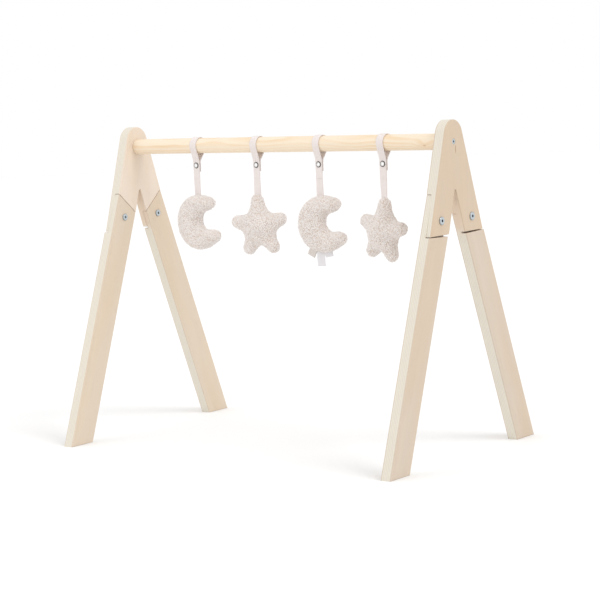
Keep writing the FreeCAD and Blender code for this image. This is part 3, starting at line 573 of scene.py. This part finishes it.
def bolt_metal(name, node):
    """Zinc plate with painted shade: dark near the bolts' axes, where their sockets are, for the shade
    inside them, and darker towards each head's rim.

    The bolts of one node are alike, level and mirrored at y = 0, so its box gives their radius
    and their axes.
    """
    sizes = bpy.context.scene.gym_metal
    low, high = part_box(node)
    radius = (high.z - low.z) / 2
    material, start = new_material(name)
    y, z = object_place(start).split()[1:]
    off_axis = (y.math("ABSOLUTE") - (high.y - radius)) ** 2 + (z - (high.z - radius)) ** 2
    away = off_axis**0.5 / radius
    marks = start.noise(object_place(start), 900, 3, 0.7)
    # Painted shade: a near-black disc about each axis for the shade inside its socket.
    shade = away.above(0.30, 0.38).mix(opaque(sizes.socket), opaque(sizes.zinc))
    # Painted shade: up to 35 per cent darker from 0.78 of the radius out to the rim of each head.
    shade = face_shade(start, shade, 1.04 + marks * 0.10 - away.above(0.78, 1.0) * 0.35)
    surface(start, shade, 0.28 + marks * 0.12, marks, 0.03 * MM, Metallic=1.0)
    return material


def stud_cap(name, centre):
    """Polished stud cap with painted shade and reflection: the metal goes near black towards its
    turned-in rim, is brighter in the middle of its dish as a painted highlight, and darker from the
    dish's edge out.

    The rim and the dish's edge are rings of distance from the cap's middle, across its face.
    """
    sizes = bpy.context.scene.gym_metal
    material, start = new_material(name)
    x, z = object_place(start).split()[::2]
    away = ((x - centre.x) ** 2 + (z - centre.z) ** 2) ** 0.5
    # Painted shade and dark reflection: the cap goes near black from cap_bright out to cap_rim and
    # beyond.
    rim = away.above(sizes.cap_bright, sizes.cap_rim)
    dish = away.above(0.0, sizes.cap_dish)
    marks = start.noise(object_place(start), 1400, 3, 0.7)
    shade = rim.mix(opaque(sizes.nickel), opaque(sizes.rim_shade))
    # Painted highlight: 10 per cent brighter in the middle of the dish, falling to painted shade, 18
    # per cent darker, from the dish's edge out.
    shade = face_shade(start, shade, 1.10 - dish * 0.28 + marks * 0.08)
    surface(start, shade, 0.20 + marks * 0.1 + rim * 0.15, marks, 0.02 * MM, Metallic=1.0)
    return material


def dress(node, material):
    """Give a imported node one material."""
    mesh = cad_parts[node].data
    mesh.materials.clear()
    mesh.materials.append(material)


# ---- surfaces ----
def grid_faces(rows, columns, around):
    """Quads of a grid of rows by columns; around closes the columns into rings."""
    row, column = np.meshgrid(np.arange(rows - 1), np.arange(columns - (not around)), indexing="ij")
    following = (column + 1) % columns
    corners = (
        row * columns + column,
        row * columns + following,
        (row + 1) * columns + following,
        (row + 1) * columns + column,
    )
    return np.stack([corner.ravel() for corner in corners], axis=1)


def new_piece(name, vertices, faces, material):
    """A smooth mesh object from arrays of vertices and faces, with one material or none."""
    mesh = bpy.data.meshes.new(name)
    mesh.from_pydata(vertices.tolist(), [], faces)
    mesh.validate()
    mesh.polygons.foreach_set("use_smooth", np.ones(len(mesh.polygons), bool))
    piece = bpy.data.objects.new(name, mesh)
    bpy.context.scene.collection.objects.link(piece)
    if material is not None:
        mesh.materials.append(material)
    return piece


def closed_tube(rings):
    """Vertices and faces of a tube of rings, shape (rings, points, 3), closed at both ends."""
    count, points = rings.shape[:2]
    faces = grid_faces(count, points, around=True).tolist()
    faces.append(list(range(points))[::-1])
    faces.append([(count - 1) * points + point for point in range(points)])
    return rings.reshape(-1, 3), faces


def tape_section(width, thickness, side_points=5, flat_points=7):
    """A flat section with round sides: two half circles of points joined by straight faces."""
    round_side = np.linspace(-math.pi / 2, math.pi / 2, side_points)
    flat = width / 2 - thickness / 2
    inner = np.linspace(0, 1, flat_points)[1:-1]
    right = np.stack([flat + np.cos(round_side) * thickness / 2, np.sin(round_side) * thickness / 2], 1)
    top = np.stack([flat - 2 * flat * inner, np.full(len(inner), thickness / 2)], 1)
    left = np.stack([-right[:, 0], -right[:, 1]], 1)
    bottom = np.stack([-flat + 2 * flat * inner, np.full(len(inner), -thickness / 2)], 1)
    return np.concatenate([right, top, left, bottom])


def ribbon(name, path, across, width, thickness, material, start=0.0):
    """A tape along a path: its flat section is carried by the path's across and normal directions.

    A point is path + across * u + normal * v, where (u, v) is on the section and the normal is
    the across direction crossed with the path's own. The weave's UV map is the width and the
    distance along the path, in metres.
    """
    gone = np.linalg.norm(np.diff(path, axis=0), axis=1)
    distance = start + np.concatenate([[0], np.cumsum(gone)])
    ahead = np.gradient(path, axis=0)
    ahead /= np.linalg.norm(ahead, axis=1, keepdims=True)
    normal = np.cross(ahead, across)
    section = tape_section(width, thickness)
    rings = (
        path[:, None, :]
        + across[:, None, :] * section[None, :, :1]
        + normal[:, None, :] * section[None, :, 1:]
    )
    vertices, faces = closed_tube(rings)
    piece = new_piece(name, vertices, faces, material)
    weave = piece.data.uv_layers.new(name="weave")
    corners = np.zeros(len(piece.data.loops), np.int32)
    piece.data.loops.foreach_get("vertex_index", corners)
    side = np.tile(section[:, 0] + (section[:, 1] > 0) * 0.37 * width, len(path))
    weave_map = np.stack([side, np.repeat(distance, len(section))], 1)[corners]
    weave.data.foreach_set("uv", weave_map.ravel().astype(np.float32))
    return piece, distance[-1] - start


def bent_path(origin, heading, runs, step):
    """Points along a path whose heading is a function of the distance gone.

    runs are pairs of a length and the turn made in it; the heading changes evenly in each, and
    the points are the running sum of the heading's cosine and sine.
    """
    ends = np.concatenate([[0], np.cumsum([run for run, turn in runs])])
    headings = heading + np.concatenate([[0], np.cumsum([turn for run, turn in runs])])
    count = max(8, int(ends[-1] / step))
    distance = np.linspace(0, ends[-1], count * 4 + 1)
    now = np.interp(distance, ends, headings)
    middle_heading = (now[1:] + now[:-1]) / 2
    moved = np.stack([np.cos(middle_heading), np.sin(middle_heading)], 1) * np.diff(distance)[:, None]
    points = np.concatenate([[origin], origin + np.cumsum(moved, axis=0)])
    return points[::4]


# ---- tapes ----
def loop_route(toy, tape):
    """Y and z of the tape from under the press stud up, over the bar and part of the way down."""
    hang = middle(f"{toy}_hanging_strap").y
    join = middle(f"{toy}_snap_cap").z - tape.join
    band = BAR_RADIUS + tape.slack + tape.thickness / 2
    front = tape.front_angle
    wrap = math.pi + front + tape.back_angle
    slope = (hang + band * math.cos(front)) / math.sin(front)
    corner = BAR_HEIGHT - band * math.sin(front) - slope * math.cos(front)
    runs = [
        (corner - tape.bend / 2 - join, 0),
        (tape.bend, front),
        (slope - tape.bend / 2, 0),
        (band * wrap, -wrap),
    ]
    return bent_path(np.array([hang, join]), UP, runs, tape.step)


def tail_route(toy, tape):
    """Y and z of the tape's free end, from where it leaves the bar down past the press stud."""
    tail_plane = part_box(f"{toy}_snap_back")[0].y - tape.thickness / 2
    tail_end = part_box(f"{toy}_strap_tail")[0].z
    band = BAR_RADIUS + tape.slack + tape.thickness / 2
    back = tape.back_angle
    leave = np.array([band * math.cos(back), BAR_HEIGHT - band * math.sin(back)])
    slope = (leave[0] - tail_plane) / math.sin(back)
    corner = leave[1] - slope * math.cos(back)
    runs = [
        (slope - tape.bend / 2, 0),
        (tape.bend, back),
        (corner - tape.bend / 2 - tail_end, 0),
    ]
    return bent_path(leave, -UP - back, runs, tape.step)


def level_ribbon(name, x, route, tape, material, start=0.0):
    """A tape along a route of y and z at one x, with its width along the bar."""
    path = np.column_stack([np.full(len(route), x), route])
    across = np.tile([1.0, 0.0, 0.0], (len(route), 1))
    return ribbon(name, path, across, tape.width, tape.thickness, material, start)


def make_tapes(toy, material):
    """The three lengths of one toy's tape: over the bar, behind the press stud, and down."""
    tape = bpy.context.scene.gym_tape
    x = middle(f"{toy}_snap_cap").x
    hang = middle(f"{toy}_hanging_strap").y
    join = middle(f"{toy}_snap_cap").z - tape.join

    piece, loop_length = level_ribbon(
        f"{toy}_tape_over_bar", x, loop_route(toy, tape), tape, material
    )
    finish_tape([f"{toy}_strap_loop"])
    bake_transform(piece)

    tail = tail_route(toy, tape)
    piece, tail_length = level_ribbon(
        f"{toy}_tape_tail", x, tail, tape, material, start=loop_length
    )
    finish_tape([f"{toy}_strap_tail"])
    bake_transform(piece)

    plush_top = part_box(f"{toy}_cover")[1].z
    low = plush_top - tape.sewn_in
    heights = np.linspace(join, low, int((join - low) / tape.step))
    share = np.clip((join - heights) / (join - plush_top), 0, 1)
    turn = bpy.context.scene.gym_plush.twists[TOYS.index(toy)] * share**2 * (3 - 2 * share)
    path = np.column_stack([np.full(len(heights), x), np.full(len(heights), hang), heights])
    across = np.column_stack([-np.cos(turn), -np.sin(turn), np.zeros(len(turn))])
    piece, hang_length = ribbon(
        f"{toy}_tape_to_toy", path, across, tape.width, tape.thickness, material
    )
    finish_tape([f"{toy}_hanging_strap"])
    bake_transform(piece)


def finish_tape(nodes):
    """Hide the imported nodes of one length of tape."""
    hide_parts(*nodes)


# ---- plush ----
# Radius of each dome of the pile over the distance between its seeds, and its share of the colour,
# which goes from the painted shade between the curls to the tip colour.
CLUMP_REACH, NUB_REACH, CURL_REACH = 0.9, 0.70, 0.8
CLUMP_SHARE, NUB_SHARE, CURL_SHARE = 0.18, 0.52, 0.3


def rounded(angle, power):
    """Cosine and sine of an angle, drawn out towards a box by a power below 1."""
    across = np.sign(np.cos(angle)) * np.abs(np.cos(angle)) ** power
    up = np.sign(np.sin(angle)) * np.abs(np.sin(angle)) ** power
    return across, up


def moon_form(plush, rows=240, points=96):
    """Crescent: flattened rings carried round the middle of the hollow, with round tips.

    At an angle seen from the hollow's middle the ring spans from the hollow's edge to the outer
    circle. Past each tip it goes on along the same curve and shrinks as a half circle does. Its
    thickness grows with its width as a hyperbolic tangent.
    """
    tip = plush.moon_tip_angle
    offset, hollow = plush.moon_hollow_offset, plush.moon_hollow_radius

    def span(angle):
        sine = offset * np.sin(angle)
        outer = np.sqrt(plush.moon_radius**2 - sine**2) - offset * np.cos(angle)
        return (hollow + outer) / 2, (outer - hollow) / 2

    tip_middle, tip_half = span(np.array(tip))
    cap = tip_half / tip_middle
    angle = (1 - np.cos(np.linspace(0, math.pi, rows))) / 2 * (2 * math.pi - 2 * tip + 2 * cap)
    angle += tip - cap
    inside = np.clip(angle, tip, 2 * math.pi - tip)
    reach, half = span(inside)
    beyond = np.abs(angle - inside) / cap
    half = half * np.sqrt(np.clip(1 - beyond**2, 1e-6, 1))
    fullest = plush.moon_half_thickness
    deep = fullest * np.tanh(half / (plush.moon_fullness * fullest))
    around = np.linspace(0, 2 * math.pi, points, endpoint=False)
    across, depth = rounded(around, RING_POWER)
    radius = reach[:, None] + half[:, None] * across[None, :]
    right = offset + radius * np.cos(angle)[:, None]
    up = radius * np.sin(angle)[:, None]
    return closed_tube(np.stack([right, up, deep[:, None] * depth[None, :]], axis=2))


def star_form(plush, rows=180, points=360):
    """Star: in each direction from its middle, the distance to the joined surface of five arms.

    An arm is a cone with a round tip, flattened in depth. The field is the smooth minimum over
    the arms of the distance to the arm's axis less its radius there, and each direction's
    distance is found by halving an interval.
    """
    tip_radius = plush.star_tip_radius
    reach = plush.star_radius - tip_radius
    taper = math.tan(plush.star_taper)
    flat = plush.star_half_thickness / (tip_radius + reach * taper)
    side_droop, low_droop = plush.star_droops
    droops = (0, side_droop, low_droop, -low_droop, -side_droop)
    height = np.linspace(-math.pi / 2, math.pi / 2, rows)
    turn = np.linspace(0, 2 * math.pi, points, endpoint=False)
    sides = np.cos(height)[:, None]
    ways = np.stack(
        [sides * np.cos(turn), sides * np.sin(turn), np.sin(height)[:, None] + 0 * turn], axis=2
    )
    low = np.full(ways.shape[:2], 2 * MM)
    high = np.full(ways.shape[:2], 2 * plush.star_radius)
    for _ in range(HALVINGS):
        half = (low + high) / 2
        place = ways * half[..., None]
        total = np.zeros_like(half)
        for arm, droop in enumerate(droops):
            axis = math.pi / 2 + arm * 2 * math.pi / 5 + droop
            gone = place[..., 0] * math.cos(axis) + place[..., 1] * math.sin(axis)
            aside = place[..., 1] * math.cos(axis) - place[..., 0] * math.sin(axis)
            on_axis = np.clip(gone, 0, reach)
            away = np.sqrt((gone - on_axis) ** 2 + aside**2 + (place[..., 2] / flat) ** 2)
            field = away - tip_radius - (reach - on_axis) * taper
            total += np.exp(-field / (plush.star_valley / 3))
        outside = total < 1
        high = np.where(outside, half, high)
        low = np.where(outside, low, half)
    rings = ways * low[..., None]
    rings[..., 1] -= plush.star_radius
    return closed_tube(rings[1:-1])


def hang_toy(points, toy):
    """Points of a toy's own plane, turned, tilted and moved to where it hangs.

    In its own plane a toy has +X to the right, +Y up and +Z to the front.
    """
    plush = bpy.context.scene.gym_plush
    which = TOYS.index(toy)
    twist, tilt = plush.twists[which], plush.tilts[which]
    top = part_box(f"{toy}_cover")[1].z
    low = plush.moon_radius if toy in MOONS else 0.0
    stud = middle(f"{toy}_snap_cap")
    hang = middle(f"{toy}_hanging_strap").y
    right = points[:, 0] * math.cos(tilt) - points[:, 1] * math.sin(tilt) + plush.shifts[which]
    up = points[:, 0] * math.sin(tilt) + points[:, 1] * math.cos(tilt)
    front = points[:, 2]
    return np.column_stack(
        [
            stud.x + right * math.cos(twist) + front * math.sin(twist),
            hang + right * math.sin(twist) - front * math.cos(twist),
            top - low + up,
        ]
    )


def even_mesh(vertices, faces, voxel):
    """The mesh of a closed form, made again with even cells."""
    rough = new_piece("form", vertices, faces, None)
    remesh = rough.modifiers.new("even", "REMESH")
    remesh.mode = "VOXEL"
    remesh.voxel_size = voxel
    depsgraph = bpy.context.evaluated_depsgraph_get()
    mesh = bpy.data.meshes.new_from_object(rough.evaluated_get(depsgraph))
    bpy.data.objects.remove(rough)
    return mesh


def cell_distance(points, size, seed):
    """Distance from each point to the nearest of one scattered seed in each cell of a lattice."""
    cell = np.floor(points / size).astype(np.int64)
    low = cell.min(0) - 1
    shape = cell.max(0) - low + 2
    scatter = np.random.default_rng(seed).random((*shape, 3))
    nearest = np.full(len(points), np.inf)
    for step in np.ndindex(3, 3, 3):
        there = cell + np.array(step) - 1
        index = (there - low).T
        seeds = (there + scatter[tuple(index)]) * size
        nearest = np.minimum(nearest, ((points - seeds) ** 2).sum(1))
    return np.sqrt(nearest)


def dome(distance, radius):
    """1 over a seed, falling to 0 at a radius as a parabola does."""
    return np.clip(1 - (distance / radius) ** 2, 0, 1)


def curly(mesh, plush, seed):
    """Raise the pile: low clumps in scattered cells, round nubs on them and finer curls on those.

    Each vertex moves along its normal by the sum of three domes, each times its height, less the
    inset. The attribute "pile" is a weighted sum of the domes, for the colour: painted shade between
    the curls, the tip colour on them.
    """
    count = len(mesh.vertices)
    points = np.zeros(count * 3, np.float32)
    normals = np.zeros(count * 3, np.float32)
    mesh.vertices.foreach_get("co", points)
    mesh.vertices.foreach_get("normal", normals)
    points = points.reshape(-1, 3).astype(float)
    normals = normals.reshape(-1, 3).astype(float)
    clumps = dome(cell_distance(points, plush.clump, seed + 2), CLUMP_REACH * plush.clump)
    nubs = dome(cell_distance(points, plush.nub, seed), NUB_REACH * plush.nub)
    curls = dome(cell_distance(points, plush.curl, seed + 1), CURL_REACH * plush.curl)
    raised = clumps * plush.clump_height + nubs * plush.nub_height + curls * plush.curl_height
    raised -= plush.inset
    points += normals * raised[:, None]
    mesh.vertices.foreach_set("co", points.ravel().astype(np.float32))
    height = mesh.attributes.new("pile", "FLOAT", "POINT")
    share = NUB_SHARE * nubs + CURL_SHARE * curls + CLUMP_SHARE * clumps
    height.data.foreach_set("value", share.astype(np.float32))
    mesh.update()


def make_plush(toy, form, material):
    """One stuffed toy in curly pile."""
    plush = bpy.context.scene.gym_plush
    vertices, faces = form(plush)
    voxel = plush.voxel * 1
    mesh = even_mesh(hang_toy(vertices, toy), faces, voxel)
    mesh.name = f"{toy}_plush"
    curly(mesh, plush, SEED + TOYS.index(toy))
    mesh.materials.clear()
    mesh.materials.append(material)
    mesh.polygons.foreach_set("use_smooth", np.ones(len(mesh.polygons), bool))
    piece = bpy.data.objects.new(f"{toy}_plush", mesh)
    bpy.context.scene.collection.objects.link(piece)
    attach(piece, f"{toy}_toy")
    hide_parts(f"{toy}_cover", f"{toy}_stuffing")


def sewn_strip(name, seam, way, out, width, thickness, material, toy):
    """A strip that leaves a moon's edge: a path in the moon's own plane and depth.

    seam is where the strip is sewn, way is its direction, and out holds its points as distance
    gone and depth. A point is the seam + way * distance, and the depth.
    """
    points = np.column_stack([seam[0] + way[0] * out[:, 0], seam[1] + way[1] * out[:, 0], out[:, 1]])
    path = hang_toy(points, toy)
    base = hang_toy(np.array([[0.0, 0, 0], [-way[1], way[0], 0]]), toy)
    across = base[1] - base[0]
    across /= np.linalg.norm(across)
    return ribbon(name, path, np.tile(across, (len(path), 1)), width, thickness, material)


def folded_strip(reach, gap):
    """A strip folded on itself: out, round a half circle as wide as the gap, and back."""
    out = np.linspace(0, reach - gap / 2, 24)
    turn = np.linspace(-math.pi / 2, math.pi / 2, 12)[1:-1]
    fold = np.column_stack([reach - gap / 2 + np.cos(turn) * gap / 2, -np.sin(turn) * gap / 2])
    there = np.column_stack([out, np.full(len(out), gap / 2)])
    back = np.column_stack([out[::-1], np.full(len(out), -gap / 2)])
    return np.concatenate([there, fold, back])


def make_labels(toy, cloth, ribbon_cloth):
    """The folded tab, the long label and the short folded label sewn into one moon's seam."""
    plush = bpy.context.scene.gym_plush
    tilt = plush.tilts[TOYS.index(toy)]
    inside = plush.sewn_in

    def sewn(turn):
        seen = turn - tilt
        edge = plush.moon_radius - inside
        return edge * math.cos(seen), edge * math.sin(seen)

    def way(turn):
        seen = turn - tilt
        return math.cos(seen), math.sin(seen)

    gone = np.linspace(0, plush.label_drop + inside, 40)
    wave = 0.9 * MM * np.sin(gone / (7 * MM)) - 0.6 * MM
    wavy_strip = np.column_stack([gone, wave])
    straight_down = math.radians(270)
    specs = (
        ("fabric_tab", plush.tab_angle, plush.tab_angle, plush.tab_width, 0.9 * MM,
         cloth, "tab_fabric", folded_strip(plush.tab_reach + inside, 1.4 * MM)),
        ("side_label", plush.side_label_angle, plush.side_label_angle, plush.label_width, 0.25 * MM,
         ribbon_cloth, "label_fabric", folded_strip(plush.side_label_reach + inside, 0.34 * MM)),
        ("care_label", plush.label_angle, straight_down, plush.label_width, 0.35 * MM,
         ribbon_cloth, "label_fabric", wavy_strip),
    )
    for label, seam, heading, width, thickness, material, slot, out in specs:
        piece, run = sewn_strip(
            f"{toy}_{label}_sewn", sewn(seam), way(heading), out, width, thickness, material, toy
        )
        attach(piece, f"{toy}_toy")
        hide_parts(f"{toy}_{label}")


# ---- studio ----
def place_light(light, stand):
    """Put a light where it stands, turned to the middle of the gym."""
    lamp = bpy.data.objects.new(light.name, light)
    aim = Vector((0, 0, BAR_HEIGHT / 2))
    lamp.location = stand
    lamp.rotation_euler = (aim - Vector(stand)).to_track_quat("-Z", "Y").to_euler()
    bpy.context.scene.collection.objects.link(lamp)


def make_floor(studio):
    """A round flat floor: rings of points whose radii grow in equal shares."""
    radius = np.geomspace(0.05, studio.floor_radius, 24)
    turn = np.linspace(0, 2 * math.pi, 96, endpoint=False)
    rings = np.stack([np.outer(radius, np.cos(turn)), np.outer(radius, np.sin(turn))], axis=2)
    vertices = np.concatenate([rings.reshape(-1, 2), np.zeros((rings.size // 2, 1))], axis=1)
    faces = grid_faces(len(radius), len(turn), around=True)[:, ::-1].tolist()
    faces.append(list(range(len(turn))))
    material, start = new_material("studio_floor")
    grain = start.noise(object_place(start), 900, 2)
    surface(start, opaque(studio.floor), 0.85 + grain * 0.1, grain, 0.02 * MM)
    new_piece("studio_floor", vertices, faces, material)


# ---- operators ----
class GYM_OT_wood(bpy.types.Operator):
    """Finish the plywood frames and the pine bar"""

    bl_idname = "gym.wood"
    bl_label = "Finish wood"

    def execute(self, context):
        wood = context.scene.gym_wood
        screw_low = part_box("bar_screws")[0]
        fleck = Vector((0, wood.fleck_aside, screw_low.z - wood.fleck_drop))
        for end, head, legs, mark in (
            ("right", wood.right_head, wood.right_legs, fleck),
            ("left", wood.left_head, wood.left_legs, None),
        ):
            dress(f"{end}_head", plywood(f"{end}_head_plywood", head, fleck=mark))
            for place, way in (("front", 1), ("back", -1)):
                plate = f"{end}_{place}_leg"
                dress(plate, plywood(f"{plate}_plywood", legs, way * wood.leg_lean))
        dress("crossbar", pine("pine_bar"))
        return {"FINISHED"}


class GYM_OT_hardware(bpy.types.Operator):
    """Finish the bolts, screws and press studs"""

    bl_idname = "gym.hardware"
    bl_label = "Finish hardware"

    def execute(self, context):
        sizes = context.scene.gym_metal
        nickel = metal("nickel_plate", sizes.nickel, 0.16, 1400)
        for node in ("leg_bolts", "leg_sleeve_nuts", "bar_screws", "bar_inserts"):
            dress(node, bolt_metal(f"{node}_zinc", node))
        for toy in TOYS:
            cap = f"{toy}_snap_cap"
            dress(cap, stud_cap(f"{cap}_nickel", middle(cap)))
            for part in ("socket", "stud", "back"):
                dress(f"{toy}_snap_{part}", nickel)
        return {"FINISHED"}


class GYM_OT_tapes(bpy.types.Operator):
    """Make the cotton tapes that carry the toys"""

    bl_idname = "gym.tapes"
    bl_label = "Make tapes"

    def execute(self, context):
        tape = context.scene.gym_tape
        material = twill("cotton_twill", tape.base, tape.twill, 0.25)
        for toy in TOYS:
            make_tapes(toy, material)
        return {"FINISHED"}


class GYM_OT_plush(bpy.types.Operator):
    """Make the stuffed moons and stars"""

    bl_idname = "gym.plush"
    bl_label = "Make plush toys"

    def execute(self, context):
        material = pile("curly_pile")
        for toy in TOYS:
            make_plush(toy, moon_form if toy in MOONS else star_form, material)
        return {"FINISHED"}


class GYM_OT_labels(bpy.types.Operator):
    """Make the tab and labels of the second moon"""

    bl_idname = "gym.labels"
    bl_label = "Make tab and labels"

    def execute(self, context):
        plush = context.scene.gym_plush
        cloth = twill("tab_twill", plush.tab, 0.8 * MM, 0.15)
        make_labels("moon_b", cloth, satin("label_satin", plush.label))
        return {"FINISHED"}


class GYM_OT_studio(bpy.types.Operator):
    """Make the floor, the light and the camera"""

    bl_idname = "gym.studio"
    bl_label = "Make studio"

    def execute(self, context):
        studio = context.scene.gym_studio
        make_floor(studio)
        key = bpy.data.lights.new("key_light", "SUN")
        key.energy = studio.key_strength
        key.angle = studio.key_softness
        place_light(key, studio.key_place)
        front = bpy.data.lights.new("front_softbox", "AREA")
        front.shape = "SQUARE"
        front.size = studio.front_size
        front.energy = studio.front_power
        place_light(front, studio.front_place)
        world = bpy.data.worlds.new("studio_sky")
        world.use_nodes = True
        background = world.node_tree.nodes["Background"]
        background.inputs["Color"].default_value = (1, 1, 1, 1)
        background.inputs["Strength"].default_value = studio.sky
        context.scene.world = world
        camera = bpy.data.cameras.new("camera")
        camera.sensor_width = studio.sensor
        camera.lens = studio.lens
        camera.clip_end = 100
        seen = bpy.data.objects.new("camera", camera)
        heading, dip, roll = studio.camera_turn
        turn = (
            Euler((0, 0, heading)).to_matrix()
            @ Euler((math.pi / 2 - dip, 0, 0)).to_matrix()
            @ Euler((0, 0, roll)).to_matrix()
        )
        seen.matrix_world = Matrix.Translation(studio.camera_place) @ turn.to_4x4()
        context.scene.collection.objects.link(seen)
        context.scene.camera = seen
        context.scene.view_settings.view_transform = "Standard"
        return {"FINISHED"}


class GYM_PT_panel(bpy.types.Panel):
    """Sizes and steps of the play gym"""

    bl_label = "Play Gym"
    bl_space_type = "VIEW_3D"
    bl_region_type = "UI"
    bl_category = "Play Gym"

    def draw(self, context):
        for operator in OPERATORS:
            self.layout.operator(operator.bl_idname)
        for name, group in GROUPS.items():
            box = self.layout.box()
            for field in group.__annotations__:
                box.prop(getattr(context.scene, name), field)


OPERATORS = (GYM_OT_studio, GYM_OT_wood, GYM_OT_hardware, GYM_OT_tapes, GYM_OT_plush, GYM_OT_labels)
CLASSES = (*GROUPS.values(), *OPERATORS, GYM_PT_panel)


def register():
    """Add the classes and the sizes on the scene."""
    for kind in CLASSES:
        bpy.utils.register_class(kind)
    for name, group in GROUPS.items():
        setattr(bpy.types.Scene, name, PointerProperty(type=group))


def unregister():
    """Take away what register added."""
    for name in GROUPS:
        delattr(bpy.types.Scene, name)
    for kind in reversed(CLASSES):
        bpy.utils.unregister_class(kind)


def main():
    """Build everything round the frame."""
    register()
    bpy.ops.gym.studio()
    bpy.ops.gym.wood()
    bpy.ops.gym.hardware()
    bpy.ops.gym.tapes()
    bpy.ops.gym.plush()
    bpy.ops.gym.labels()


if __name__ == "__main__":
    main()
